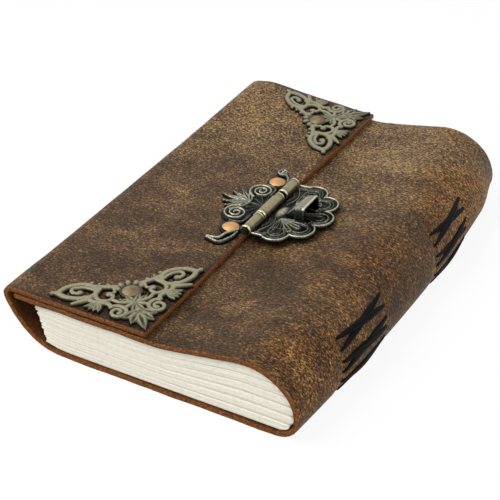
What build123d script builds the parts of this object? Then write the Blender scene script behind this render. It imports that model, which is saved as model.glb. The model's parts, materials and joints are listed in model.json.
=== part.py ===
"""A wrap-over leather diary, closed by a hinged clasp, with pierced corner plates and a laced spine.

X runs from the fold to the spine, Y along the book and Z up from the table, in millimetres.
The origin is on the table, under the middle of the book.
"""
import os
from math import asin, atan2, cos, degrees, hypot, radians, sin, sqrt, tan

from build123d import *

# Whole book.
LENGTH = 178.0
WIDTH = 118.0
LEATHER = 2.0
FLAP_TOP = 23.4
FLAP_REACH = 60.0
SPINE_TOP = 26.5
SPINE_RADIUS = 20.5
FOLD_RADIUS = 3.3
WRAP_TURN = 75.0
BEND_SHARE = 0.45
BEND_RUN_OUT = 3.0
TIP_INSET = 1.2
TONGUE_LAP = 6.0

# Text block.
GATHERINGS = 6
PAGE_SETBACK = 1.5
FORE_EDGE_LOW = 16.4
FORE_EDGE_STEP = 0.7
FOLD_SLIT = 0.25
FOLD_STOP = 6.0
PAGE_GAP = 0.3
LEAF_GAP = 0.12
FOLD_GAP = 0.4

# Lacing.
ROWS = 6
ROW_HIGH = 0.7
ROW_LOW = 0.11
LACE_INNER = 22.0
LACE_OUTER = 56.0
THREAD_RADIUS = 0.65
HOLE_RADIUS = 0.85
LACE_CLEAR = 0.15
LACE_BEND = 1.0
HUMP_PART = 0.35
BEND_ROOM = 0.45

# Metalwork.
GAP = 0.3
PLATE = 1.2
RELIEF = 0.8
CORNER_LEG = 41.0
CORNER_INSET = 0.4
STROKE = 1.7
LEAF_LENGTH = 5.5
LEAF_WIDTH = 1.2
EDGE_LEAF = 6.6
PETAL_LENGTH = 8.4
PETAL_WIDTH = 1.8
BUD_RADIUS = 2.1
BEAD = 1.15
EYE_RADIUS = 1.5
COLLAR_BEADS = 5
COLLAR_RING = 4.8
COLLAR_SWEEP = 80.0
SCROLL_PITCH = 2.9
BRAD_RADIUS = 3.2
BRAD_DOME = 1.2
BRAD_SHANK = 1.2
BRAD_LEG = 5.0
BRAD_LEG_WIDTH = 2.0
BRAD_LEG_THICK = 0.5
HOLE_EASE = 0.05
BARREL_RADIUS = 2.0
BARREL_LENGTH = 40.0
BARREL_INSET = 1.0
KNUCKLE = 16.6
PIN_RADIUS = 0.8
PIN_HEAD = 0.6
PIN_HEAD_RADIUS = 1.3
KNUCKLE_CLEAR = 0.4
CLASP_BRAD_BACK = 7.0
CLASP_BRAD_SIDE = 18.4
SHIELD_BACK = 8.0
SHIELD_LONG = 7.5
SHIELD_WIDE = 10.0
COIL_BACK = 10.0
COIL_SIDE = 9.3
COIL_RADIUS = 5.4
COIL_PITCH = 3.0
RIDGE = 1.2
FAN_BACK = 11.0
FAN_REACH = 9.6
FAN_RIBS = 5
FAN_STEP = 16.0
FAN_RIDGE = 0.85
ARM_BACK = 8.5
ARM_CURL = 4.4
ARM_OUT = 8.0
ARM_START = -80.0
ARM_SWEEP = 200.0
LEAF_PLATE = 1.3
LOBES = 5
LOBE_RADIUS = 6.0
LOBE_PITCH = 38.0
FLUTE_SEAT = 0.88
FLUTE_LONG = 5.6
FLUTE_WIDE = 3.9
RAY_INNER = 0.45
RAY_OUTER = 0.85
SHELL_REACH = 13.5
SHELL_SIDE = 16.0
SHELL_START = 7.0
SHELL_CENTRE = 9.0
BOSS_BACK = 2.4
BOSS_LONG = 4.8
BOSS_WIDE = 2.2
BOSS_TAPER = 20.0
HOOD_WIDTH = 12.3
HOOD_HEIGHT = 6.3
HOOD_DEPTH = 9.5
HOOD_SLOPE = 5.0
HOOD_FALL = 1.0
HOOD_WALL = 1.1
POST_REACH = 14.0
POST_RADIUS = 1.5
POST_HEAD_RADIUS = 1.8
POST_HEAD = 1.0
POST_RISE = 5.0
CATCH_PLATE = 1.0
CATCH_BACK = 5.5
CATCH_FRONT = 6.5
CATCH_SIDE = 10.0
CATCH_RIVET_SIDE = 7.0
RIVET_RADIUS = 1.0
RIVET_HEAD_RADIUS = 1.7
RIVET_HEAD = 0.5
RIVET_TAPER = 25.0

# Ornament of a corner plate: places along a leg and in from its edge as shares of the leg, turns in degrees.
BRAD_SEAT = 0.42
LOOP = (0.79, 0.19)
LOOP_HALF = (0.17, 0.125)
LOOP_TURN = -32.0
EYE = (0.81, 0.185)
NUBS = ((0.945, 0.09), (0.75, 0.335), (0.61, 0.375))
OUTER_BAND = ((0.74, 0.3), (0.61, 0.35), (0.47, 0.46))
EDGE_BAND = ((0.7, 0.12), (0.57, 0.155), (0.45, 0.12))
HOOK = ((0.64, 0.33), (0.57, 0.21), (0.47, 0.22), (0.455, 0.31))
COIL = (0.345, 0.115)
COIL_HALF = 0.1
FAN_ROOT = (0.55, 0.15)
FAN_LEAF_TURNS = (-70.0, -100.0, -130.0)
LEAF_ROOT = (0.64, 0.14)
LEAF_TURN = -40.0
FLOWER = 0.31
FLOWER_TURNS = (0.0, 45.0, 90.0, 225.0)
PALMETTE = 0.21
PALMETTE_TURNS = (149.0, 187.0, 225.0, 263.0, 301.0)

# Lines that the pieces share.
x_fold = -WIDTH / 2
x_spine = WIDTH / 2
half = LENGTH / 2
mid = LEATHER / 2
turn = radians(WRAP_TURN)
wrap_radius = (FLAP_TOP - FOLD_RADIUS * (1 + cos(turn))) / (1 - cos(turn))
x_wrap = x_fold + FOLD_RADIUS + (wrap_radius - FOLD_RADIUS) * sin(turn)
x_hinge = x_fold + FOLD_RADIUS
x_edge = x_fold + FLAP_REACH
corner_radius = SPINE_TOP - SPINE_RADIUS
x_corner = x_spine - corner_radius
x_shoulder = x_spine - SPINE_RADIUS

# The front cover runs level under the flap, then rises to the shoulder of the spine.
cover_mid = FLAP_TOP - LEATHER - GAP - mid
x_bend = x_edge + BEND_RUN_OUT
x_cover = x_shoulder - GAP
run = x_cover - x_bend
rise = SPINE_TOP - mid - cover_mid
bend_radius = BEND_SHARE * (run**2 + rise**2) / (4 * rise)
fall = rise - 2 * bend_radius
slope = atan2(fall, run) + asin(2 * bend_radius / hypot(fall, run))
slope_length = sqrt(run**2 + rise**2 - 4 * bend_radius * rise)
bend_corner = bend_radius * tan(slope / 2)
x_tip = x_hinge + TIP_INSET
x_tongue = x_edge - TONGUE_LAP

# The clasp: its barrel over the flap's free edge, its catch on the rising cover.
x_barrel = x_edge - BARREL_INSET
z_barrel = FLAP_TOP + GAP + BARREL_RADIUS
slope_x = x_bend + bend_corner - mid * sin(slope)
slope_z = cover_mid + mid * cos(slope)
x_post = x_barrel + POST_REACH
z_post = slope_z + (x_post - slope_x) * tan(slope)
catch_end_x = x_post + CATCH_FRONT * cos(slope) - CATCH_PLATE * sin(slope)
catch_end_z = z_post + CATCH_FRONT * sin(slope) + CATCH_PLATE * cos(slope) + KNUCKLE_CLEAR
end_x = catch_end_x - x_barrel
end_z = catch_end_z - z_barrel
tilt = atan2(end_z, end_x) + asin(BARREL_RADIUS / hypot(end_x, end_z))
leaf_x = Vector(cos(tilt), 0, sin(tilt))
leaf_z = Vector(-sin(tilt), 0, cos(tilt))
barrel_axis = Vector(x_barrel, 0, z_barrel)
post_top = Vector(x_post - POST_RISE * sin(slope), 0, z_post + POST_RISE * cos(slope))
post_along = (post_top - barrel_axis).dot(leaf_x)
leaf_under = Plane(origin=barrel_axis - leaf_z * BARREL_RADIUS, x_dir=leaf_x, z_dir=leaf_z)
leaf_face = leaf_under.offset(LEAF_PLATE)
leaf_side = Plane(origin=barrel_axis, x_dir=leaf_x, z_dir=(0, -1, 0))
cover_x = Vector(cos(slope), 0, sin(slope))
cover_z = Vector(-sin(slope), 0, cos(slope))
catch_face = Plane(origin=(x_post, 0, z_post), x_dir=cover_x, z_dir=cover_z)
barrel_cut = Plane(origin=(x_barrel, 0, z_barrel), x_dir=(1, 0, 0), z_dir=(0, 1, 0))


def bottom_at(x):
    """Height of the leather's inner face under the pages."""
    if x >= x_wrap:
        return LEATHER
    return wrap_radius - sqrt((wrap_radius - LEATHER) ** 2 - (x_wrap - x) ** 2)


def top_at(x):
    """Height of the top of the pages, under the front cover."""
    low = cover_mid - mid - PAGE_GAP
    high = SPINE_TOP - LEATHER - PAGE_GAP
    part = (x - x_bend - bend_corner) / (run - 2 * bend_corner)
    return low + (high - low) * min(max(part, 0), 1)


def leaf_line(x, count):
    """Height of the line between gatherings, counted up from the back cover."""
    return bottom_at(x) + (top_at(x) - bottom_at(x)) * count / GATHERINGS


def fold_x(z, radius):
    """Where a gathering's rounded fold of this height lies against the spine."""
    if z < corner_radius:
        return x_corner - radius / 2
    room = SPINE_RADIUS - LEATHER - FOLD_GAP - radius
    return x_shoulder + sqrt(max(room**2 - (z - corner_radius) ** 2, 0))


def spine_point(z, out):
    """Point on the spine's round at this height, out from its outer face, and its outward direction."""
    radius = SPINE_RADIUS if z >= corner_radius else corner_radius
    lean = asin((z - corner_radius) / radius)
    centre = x_spine - radius
    way = Vector(cos(lean), 0, sin(lean))
    return Vector(centre, 0, corner_radius) + way * (radius + out), way


def leg_point(share, hand=1):
    """Place on a corner plate, from its shares of the leg's length along the leg and in from the edge."""
    return CORNER_LEG * share[0], hand * CORNER_LEG * share[1]


def volute(x, y, radius, pitch, halves, hand):
    """Chain half circles into a spiral that winds in from its outer end, square to the X axis."""
    angle = 90 * hand
    for _ in range(halves):
        CenterArc((x, y), radius, angle, 180 * hand)
        angle += 180 * hand
        radius -= pitch / 2
        x += pitch / 2 * cos(radians(angle))
        y += pitch / 2 * sin(radians(angle))


def pointed_leaf(length, wide):
    """Sketch of a leaf along X, from its root at the origin to its point."""
    with BuildSketch() as leaf:
        with BuildLine():
            SagittaArc((0, 0), (length, 0), wide)
            SagittaArc((length, 0), (0, 0), wide)
        make_face()
    return leaf.sketch


os.makedirs("parts", exist_ok=True)

# Hide: back cover, wrap round the fore-edge, spine, front cover and flap.
with BuildPart() as back_cover:
    with BuildSketch(Plane.XZ):
        with Locations(((x_wrap + x_corner) / 2, mid)):
            Rectangle(x_corner - x_wrap, LEATHER)
    extrude(amount=half, both=True)
back_cover.part.label = "back_cover"
export_step(back_cover.part, "parts/back_cover.step")

with BuildPart() as fore_edge_wrap:
    with BuildSketch(Plane.XZ):
        with BuildLine():
            rising = JernArc((x_wrap, mid), (-1, 0), wrap_radius - mid, -WRAP_TURN)
            JernArc(rising @ 1, rising % 1, FOLD_RADIUS - mid, WRAP_TURN - 180)
        trace(line_width=LEATHER)
    extrude(amount=half, both=True)
fore_edge_wrap.part.label = "fore_edge_wrap"
export_step(fore_edge_wrap.part, "parts/fore_edge_wrap.step")

row_step = (ROW_HIGH - ROW_LOW) / (ROWS - 1)
row_heights = [SPINE_TOP * (ROW_HIGH - row_step * row) for row in range(ROWS)]
columns = [-LACE_OUTER, -LACE_INNER, LACE_INNER, LACE_OUTER]
with BuildPart() as spine:
    with BuildSketch(Plane.XZ):
        with BuildLine():
            lower = JernArc((x_corner, mid), (1, 0), corner_radius - mid, 90)
            JernArc(lower @ 1, lower % 1, SPINE_RADIUS - mid, 90)
        trace(line_width=LEATHER)
    extrude(amount=half, both=True)
    for height in row_heights:
        seat, outward = spine_point(height, -mid)
        for column in columns:
            with BuildSketch(Plane(origin=seat + Vector(0, column, 0), z_dir=outward)):
                Circle(HOLE_RADIUS)
            extrude(amount=LEATHER, both=True, mode=Mode.SUBTRACT)
spine.part.label = "spine"
export_step(spine.part, "parts/spine.step")

with BuildPart() as front_cover:
    with BuildSketch(Plane.XZ):
        with BuildLine():
            crown = JernArc((x_cover, SPINE_TOP - mid), (-1, 0), bend_radius, degrees(slope))
            falling = PolarLine(crown @ 1, slope_length, direction=crown % 1)
            level = JernArc(falling @ 1, falling % 1, bend_radius, -degrees(slope))
            Line(level @ 1, (x_tongue, cover_mid))
        trace(line_width=LEATHER)
    extrude(amount=half, both=True)
    with BuildSketch(catch_face):
        with Locations((0, -CATCH_RIVET_SIDE), (0, CATCH_RIVET_SIDE)):
            Circle(RIVET_RADIUS + HOLE_EASE)
    extrude(amount=2 * LEATHER, both=True, mode=Mode.SUBTRACT)
front_cover.part.label = "front_cover"
export_step(front_cover.part, "parts/front_cover.step")

with BuildPart() as front_cover_tongue:
    with BuildSketch(Plane.XY.offset(cover_mid)):
        with Locations(((x_tip + x_tongue) / 2, 0)):
            Rectangle(x_tongue - x_tip, LENGTH)
    extrude(amount=mid, both=True)
front_cover_tongue.part.label = "front_cover_tongue"
export_step(front_cover_tongue.part, "parts/front_cover_tongue.step")

x_corner_plate = x_edge - CORNER_INSET
y_corner_plate = half - CORNER_INSET
seat_back = CORNER_LEG * BRAD_SEAT
brad_places = {
    "corner_brad_near": (x_corner_plate - seat_back, seat_back - y_corner_plate),
    "corner_brad_far": (x_corner_plate - seat_back, y_corner_plate - seat_back),
    "clasp_brad_near": (x_barrel - CLASP_BRAD_BACK, -CLASP_BRAD_SIDE),
    "clasp_brad_far": (x_barrel - CLASP_BRAD_BACK, CLASP_BRAD_SIDE),
}
flap_under = FLAP_TOP - LEATHER
with BuildPart() as flap:
    with BuildSketch(Plane.XY.offset(flap_under)):
        with Locations(((x_hinge + GAP + x_edge) / 2, 0)):
            Rectangle(x_edge - x_hinge - GAP, LENGTH)
        with Locations(*brad_places.values()):
            Circle(BRAD_SHANK + HOLE_EASE, mode=Mode.SUBTRACT)
    extrude(amount=LEATHER)
    with BuildSketch(Plane.XY.offset(flap_under)):
        with Locations(*brad_places.values()):
            Rectangle(BRAD_LEG_WIDTH + 2 * GAP, 2 * BRAD_LEG + 2 * GAP)
    extrude(amount=BRAD_LEG_THICK + HOLE_EASE, mode=Mode.SUBTRACT)
flap.part.label = "flap"
export_step(flap.part, "parts/flap.step")

# Pages: gatherings of folded sheets, each with its fold against the spine.
for count in range(GATHERINGS):
    x_fore = x_fold + FORE_EDGE_LOW - FORE_EDGE_STEP * count
    base = leaf_line(x_cover, count) + LEAF_GAP
    crest = leaf_line(x_cover, count + 1) - LEAF_GAP
    fold_radius = (crest - base) / 2
    middle = base + fold_radius
    x_centre = fold_x(middle, fold_radius)
    stations = [x_fore, x_wrap, x_bend + bend_corner, x_cover - bend_corner]
    under = [(x, leaf_line(x, count) + LEAF_GAP) for x in stations]
    over = [(x, leaf_line(x, count + 1) - LEAF_GAP) for x in stations]
    slit = [(x, leaf_line(x, count + 0.5)) for x in stations]
    with BuildPart() as gathering:
        with BuildSketch(Plane.XZ):
            with BuildLine():
                Polyline(*under, (x_centre, base))
                CenterArc((x_centre, middle), fold_radius, -90, 180)
                Polyline((x_centre, crest), *reversed(over))
                Line(over[0], under[0])
            make_face()
            with BuildLine():
                mouth = (x_fore - PAGE_GAP, slit[0][1])
                Polyline(mouth, *slit[1:], (x_centre - FOLD_STOP, middle))
            trace(line_width=FOLD_SLIT, mode=Mode.SUBTRACT)
        extrude(amount=half - PAGE_SETBACK, both=True)
    gathering.part.label = f"gathering_{count + 1}"
    export_step(gathering.part, f"parts/gathering_{count + 1}.step")

# Lacing: in each pair two threads cross, one over the other, from hole to hole of the spine.
lace_rise = THREAD_RADIUS + LACE_CLEAR
for block, place in (("near", -1), ("far", 1)):
    for pair in range(ROWS // 2):
        rows = row_heights[2 * pair:2 * pair + 2]
        with BuildPart() as lacing:
            for order, (first, last) in enumerate((rows, reversed(rows))):
                hump = lace_rise + LACE_CLEAR + order * (2 * THREAD_RADIUS + LACE_CLEAR)
                route = []
                for part, out in ((0, -LEATHER), (0, lace_rise), (HUMP_PART, hump)):
                    seat, _ = spine_point(first + (last - first) * part, out)
                    route.append(seat + Vector(0, place * (LACE_OUTER + (LACE_INNER - LACE_OUTER) * part), 0))
                for part, out in ((HUMP_PART, hump), (0, lace_rise), (0, -LEATHER)):
                    seat, _ = spine_point(last + (first - last) * part, out)
                    route.append(seat + Vector(0, place * (LACE_INNER + (LACE_OUTER - LACE_INNER) * part), 0))
                hump_turn = (route[2] - route[1]).get_angle(route[3] - route[2])
                hump_run = (route[3] - route[2]).length
                hump_radius = BEND_ROOM * hump_run / tan(radians(hump_turn / 2))
                with BuildLine():
                    strand = FilletPolyline(*route, radius=[LACE_BEND, hump_radius, hump_radius, LACE_BEND])
                with BuildSketch(Plane(origin=strand @ 0, z_dir=strand % 0)):
                    Circle(THREAD_RADIUS)
                sweep()
        lacing.part.label = f"lacing_{block}_{pair + 1}"
        export_step(lacing.part, f"parts/lacing_{block}_{pair + 1}.step")

# Corner plates, pierced: loops, scrolls, leaves and petals, alike on both sides of the diagonal.
corner_frame = Plane(origin=(x_corner_plate, y_corner_plate, FLAP_TOP), x_dir=(-1, 0, 0), z_dir=(0, 0, 1))
petal = pointed_leaf(PETAL_LENGTH, PETAL_WIDTH)
fan_leaf = pointed_leaf(LEAF_LENGTH, LEAF_WIDTH)
edge_leaf = pointed_leaf(EDGE_LEAF, LEAF_WIDTH)
with BuildPart() as corner_far:
    with BuildSketch(corner_frame):
        with Locations((seat_back, seat_back)):
            Circle(BRAD_RADIUS + STROKE / 2)
            first_bead = 45 - COLLAR_SWEEP / 2
            with PolarLocations(COLLAR_RING, COLLAR_BEADS, first_bead, COLLAR_SWEEP, endpoint=True):
                Circle(BEAD)
        for root, turns in ((FLOWER, FLOWER_TURNS), (PALMETTE, PALMETTE_TURNS)):
            with Locations(*[Location(leg_point((root, root)), (0, 0, turned)) for turned in turns]):
                add(petal)
            with Locations(leg_point((root, root))):
                Circle(BUD_RADIUS)
        for hand in (1, -1):
            lay = Location((0, 0, 0), (0, 0, 45 - 45 * hand))
            with Locations(lay):
                with Locations(Location(leg_point(LOOP, hand), (0, 0, LOOP_TURN * hand))):
                    Ellipse(CORNER_LEG * LOOP_HALF[0], CORNER_LEG * LOOP_HALF[1])
                    Ellipse(CORNER_LEG * LOOP_HALF[0] - STROKE, CORNER_LEG * LOOP_HALF[1] - STROKE,
                            mode=Mode.SUBTRACT)
                with Locations(leg_point(EYE, hand)):
                    Circle(EYE_RADIUS)
                with Locations(*[leg_point(nub, hand) for nub in NUBS]):
                    Circle(BEAD)
                with Locations(*[Location(leg_point(FAN_ROOT, hand), (0, 0, hand * turned))
                                 for turned in FAN_LEAF_TURNS]):
                    add(fan_leaf)
                with Locations(Location(leg_point(LEAF_ROOT, hand), (0, 0, LEAF_TURN * hand))):
                    add(edge_leaf)
            with BuildLine(lay):
                x_coil, y_coil = leg_point(COIL, hand)
                volute(x_coil, y_coil, CORNER_LEG * COIL_HALF, SCROLL_PITCH, 3, hand)
                for band in (OUTER_BAND, EDGE_BAND, HOOK):
                    Spline(*[leg_point(place, hand) for place in band])
                Line(leg_point(EYE, hand), leg_point((LOOP[0] - LOOP_HALF[0], EYE[1]), hand))
                Line(leg_point((COIL[0], COIL[1] + COIL_HALF), hand), leg_point((FLOWER, FLOWER), hand))
            trace(line_width=STROKE)
    extrude(amount=PLATE)
    with BuildSketch(Plane.XY.offset(FLAP_TOP)):
        with Locations(brad_places["corner_brad_far"]):
            Circle(BRAD_SHANK + HOLE_EASE)
    extrude(amount=PLATE, mode=Mode.SUBTRACT)
corner_far.part.label = "corner_far"
export_step(corner_far.part, "parts/corner_far.step")

with BuildPart() as corner_near:
    mirror(corner_far.part, about=Plane.XZ)
corner_near.part.label = "corner_near"
export_step(corner_near.part, "parts/corner_near.step")

# Brads: domed head, shank through plate and hide, two legs clenched in the underside.
dome_radius = (BRAD_RADIUS**2 + BRAD_DOME**2) / (2 * BRAD_DOME)
for name, place in brad_places.items():
    with BuildPart() as brad:
        with BuildSketch(Plane.XY.offset(flap_under + BRAD_LEG_THICK)):
            with Locations(place):
                Circle(BRAD_SHANK)
        extrude(amount=LEATHER + PLATE - BRAD_LEG_THICK)
        with BuildSketch(Plane.XY.offset(flap_under)):
            with Locations(place):
                Rectangle(BRAD_LEG_WIDTH, 2 * BRAD_LEG)
        extrude(amount=BRAD_LEG_THICK)
        with BuildSketch(Plane.XZ.offset(-place[1])):
            with BuildLine():
                foot = (place[0], FLAP_TOP + PLATE)
                crest = (place[0], FLAP_TOP + PLATE + BRAD_DOME)
                rim = (place[0] + BRAD_RADIUS, FLAP_TOP + PLATE)
                Line(rim, foot)
                Line(foot, crest)
                RadiusArc(crest, rim, dome_radius)
            make_face()
        revolve(axis=Axis((place[0], place[1], 0), (0, 0, 1)))
    brad.part.label = name
    export_step(brad.part, f"parts/{name}.step")

# Clasp plate on the flap: fan, two volutes, two curled arms and the middle knuckle.
clasp_frame = Plane(origin=(x_barrel, 0, FLAP_TOP), x_dir=(-1, 0, 0), z_dir=(0, 0, 1))
arm_end = CLASP_BRAD_SIDE + ARM_OUT
fan_turns = [FAN_STEP * (rib - (FAN_RIBS - 1) / 2) for rib in range(FAN_RIBS)]
with BuildPart() as clasp_plate:
    with BuildSketch(clasp_frame):
        with Locations((SHIELD_BACK, 0)):
            Ellipse(SHIELD_LONG, SHIELD_WIDE)
        for turned in fan_turns:
            with Locations(Location((FAN_BACK, 0, 0), (0, 0, turned))):
                with Locations((FAN_REACH / 2, 0)):
                    Ellipse(FAN_REACH / 2, RIDGE)
        for side in (-1, 1):
            with Locations((COIL_BACK, side * COIL_SIDE)):
                Circle(COIL_RADIUS + STROKE / 2)
            with Locations((CLASP_BRAD_BACK, side * CLASP_BRAD_SIDE)):
                Circle(BRAD_RADIUS + STROKE / 2)
            with Locations((ARM_BACK, side * (COIL_SIDE + CLASP_BRAD_SIDE) / 2)):
                Rectangle(2 * STROKE, CLASP_BRAD_SIDE - COIL_SIDE)
            with BuildLine():
                curl = (ARM_BACK, side * (arm_end - ARM_CURL))
                CenterArc(curl, ARM_CURL, ARM_START * side, ARM_SWEEP * side)
            trace(line_width=STROKE)
        with Locations((0, 0)):
            Rectangle(2 * (BARREL_RADIUS + KNUCKLE_CLEAR), LENGTH, mode=Mode.SUBTRACT)
    extrude(amount=PLATE)
    with BuildSketch(clasp_frame.offset(PLATE)):
        with BuildLine():
            for side in (-1, 1):
                volute(COIL_BACK, side * COIL_SIDE, COIL_RADIUS, COIL_PITCH, 4, -side)
        trace(line_width=RIDGE)
        for turned in fan_turns:
            with Locations(Location((FAN_BACK, 0, 0), (0, 0, turned))):
                with Locations((FAN_REACH / 2, 0)):
                    Rectangle(FAN_REACH - 2 * RIDGE, FAN_RIDGE)
    extrude(amount=RELIEF)
    with BuildSketch(clasp_frame):
        with Locations((BARREL_RADIUS, 0)):
            Rectangle(2 * BARREL_RADIUS + 2 * KNUCKLE_CLEAR, KNUCKLE)
    extrude(amount=BARREL_RADIUS)
    with BuildSketch(barrel_cut):
        Circle(BARREL_RADIUS)
    extrude(amount=KNUCKLE / 2, both=True)
    with BuildSketch(barrel_cut):
        Circle(PIN_RADIUS + HOLE_EASE)
    extrude(amount=BARREL_LENGTH, both=True, mode=Mode.SUBTRACT)
    with BuildSketch(clasp_frame):
        with Locations((CLASP_BRAD_BACK, -CLASP_BRAD_SIDE), (CLASP_BRAD_BACK, CLASP_BRAD_SIDE)):
            Circle(BRAD_SHANK + HOLE_EASE)
    extrude(amount=PLATE, mode=Mode.SUBTRACT)
clasp_plate.part.label = "clasp_plate"
export_step(clasp_plate.part, "parts/clasp_plate.step")

with BuildPart() as hinge_pin:
    with BuildSketch(barrel_cut):
        Circle(PIN_RADIUS)
    extrude(amount=BARREL_LENGTH / 2 + GAP, both=True)
    for end in (-1, 1):
        with BuildSketch(barrel_cut.offset(end * (BARREL_LENGTH / 2 + GAP))):
            Circle(PIN_HEAD_RADIUS)
        extrude(amount=end * PIN_HEAD)
hinge_pin.part.label = "hinge_pin"
export_step(hinge_pin.part, "parts/hinge_pin.step")

# Hasp leaf: scalloped shell, two knuckles, boss, and a hood over the slot for the post.
strap = (BARREL_LENGTH - KNUCKLE) / 2 - GAP
strap_middle = (BARREL_LENGTH - strap) / 2
hood_mouth = post_along + POST_HEAD_RADIUS + 2 * PLATE
hood_back = hood_mouth - HOOD_DEPTH
hood_crest = HOOD_HEIGHT - HOOD_FALL
hood_base = LEAF_PLATE - BARREL_RADIUS
hood_skin = HOOD_WALL * hypot(1, HOOD_SLOPE / hood_crest)
slot_back = post_along - POST_HEAD_RADIUS - PLATE
x_boss = BARREL_RADIUS + KNUCKLE_CLEAR + BOSS_BACK
lobe_spread = [LOBE_PITCH * (lobe - (LOBES - 1) / 2) for lobe in range(LOBES)]


def shell_point(angle, part):
    """Place on the shell, this part of the way out to its rim of lobes."""
    return SHELL_START + part * SHELL_REACH * cos(radians(angle)), part * SHELL_SIDE * sin(radians(angle))


lobe_places = [shell_point(angle, 1) for angle in lobe_spread]
with BuildPart() as hasp_leaf:
    with BuildSketch(leaf_under):
        with Locations((SHELL_CENTRE, 0)):
            Ellipse(SHELL_REACH, SHELL_SIDE)
        with Locations(*lobe_places):
            Circle(LOBE_RADIUS)
        with Locations((BARREL_RADIUS + KNUCKLE_CLEAR - half, 0)):
            Rectangle(LENGTH, LENGTH, mode=Mode.SUBTRACT)
        with Locations((SHELL_START / 2, -strap_middle), (SHELL_START / 2, strap_middle)):
            Rectangle(SHELL_START, strap)
    extrude(amount=LEAF_PLATE)
    with BuildSketch(leaf_face):
        flutes = []
        for angle in lobe_spread:
            x_flute, y_flute = shell_point(angle, FLUTE_SEAT)
            flutes.append(Location((x_flute, y_flute), (0, 0, degrees(atan2(y_flute, x_flute - x_boss)))))
        with Locations(*flutes):
            Ellipse(FLUTE_LONG, FLUTE_WIDE)
            Ellipse(FLUTE_LONG - RIDGE, FLUTE_WIDE - RIDGE, mode=Mode.SUBTRACT)
        with BuildLine():
            for angle in lobe_spread:
                if abs(angle) > LOBE_PITCH / 2:
                    Line(shell_point(angle, RAY_INNER), shell_point(angle, RAY_OUTER))
        trace(line_width=RIDGE)
    extrude(amount=RELIEF)
    with BuildSketch(leaf_face):
        with Locations((x_boss, 0)):
            Ellipse(BOSS_WIDE, BOSS_LONG)
    extrude(amount=2 * RELIEF, taper=BOSS_TAPER)
    with BuildSketch(leaf_side):
        with BuildLine():
            Polyline((hood_back, hood_base), (hood_back + HOOD_SLOPE, hood_base + hood_crest),
                     (hood_mouth, hood_base + HOOD_HEIGHT), (hood_mouth, hood_base), close=True)
        make_face()
    extrude(amount=HOOD_WIDTH / 2, both=True)
    with BuildSketch(leaf_side):
        with BuildLine():
            Polyline((hood_back + hood_skin, hood_base),
                     (hood_back + HOOD_SLOPE + HOOD_FALL, hood_base + hood_crest - HOOD_WALL),
                     (hood_mouth + GAP, hood_base + HOOD_HEIGHT - HOOD_WALL),
                     (hood_mouth + GAP, hood_base), close=True)
        make_face()
    extrude(amount=HOOD_WIDTH / 2 - HOOD_WALL, both=True, mode=Mode.SUBTRACT)
    with BuildSketch(leaf_under):
        with Locations(((slot_back + hood_mouth) / 2, 0)):
            Rectangle(hood_mouth - slot_back, HOOD_WIDTH - 2 * HOOD_WALL - 2 * PLATE)
    extrude(amount=LEAF_PLATE + RELIEF, mode=Mode.SUBTRACT)
    for side in (-1, 1):
        with BuildSketch(barrel_cut.offset(side * strap_middle)):
            Circle(BARREL_RADIUS)
        extrude(amount=strap / 2, both=True)
    with BuildSketch(barrel_cut):
        Circle(PIN_RADIUS + HOLE_EASE)
    extrude(amount=BARREL_LENGTH, both=True, mode=Mode.SUBTRACT)
hasp_leaf.part.label = "hasp_leaf"
export_step(hasp_leaf.part, "parts/hasp_leaf.step")

# Catch on the front cover: plate, post and two rivets.
with BuildPart() as catch_plate:
    with BuildSketch(catch_face):
        with Locations(((CATCH_FRONT - CATCH_BACK) / 2, 0)):
            RectangleRounded(CATCH_FRONT + CATCH_BACK, 2 * CATCH_SIDE, 2 * STROKE)
        with Locations((0, -CATCH_RIVET_SIDE), (0, CATCH_RIVET_SIDE)):
            Circle(RIVET_RADIUS + HOLE_EASE, mode=Mode.SUBTRACT)
    extrude(amount=CATCH_PLATE)
    with BuildSketch(catch_face):
        Circle(POST_RADIUS)
    extrude(amount=POST_RISE)
    with BuildSketch(catch_face.offset(POST_RISE - POST_HEAD)):
        Circle(POST_HEAD_RADIUS)
    extrude(amount=POST_HEAD)
catch_plate.part.label = "catch_plate"
export_step(catch_plate.part, "parts/catch_plate.step")

for name, side in (("catch_rivet_near", -1), ("catch_rivet_far", 1)):
    with BuildPart() as rivet:
        with BuildSketch(catch_face.offset(-LEATHER)):
            with Locations((0, side * CATCH_RIVET_SIDE)):
                Circle(RIVET_RADIUS)
        extrude(amount=LEATHER + CATCH_PLATE)
        with BuildSketch(catch_face.offset(CATCH_PLATE)):
            with Locations((0, side * CATCH_RIVET_SIDE)):
                Circle(RIVET_HEAD_RADIUS)
        extrude(amount=RIVET_HEAD, taper=RIVET_TAPER)
    rivet.part.label = name
    export_step(rivet.part, f"parts/{name}.step")
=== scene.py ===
"""A wrap-over leather diary with a hinged clasp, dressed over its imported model.

Metres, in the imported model's frame: X from the fold to the spine, Y along the book, Z up from the table.
"""
import json
import logging
import math
from collections.abc import Callable, Sequence
from dataclasses import dataclass
from enum import Enum

import bmesh
import bpy
import numpy as np
from mathutils import Matrix, Vector, noise


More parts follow.
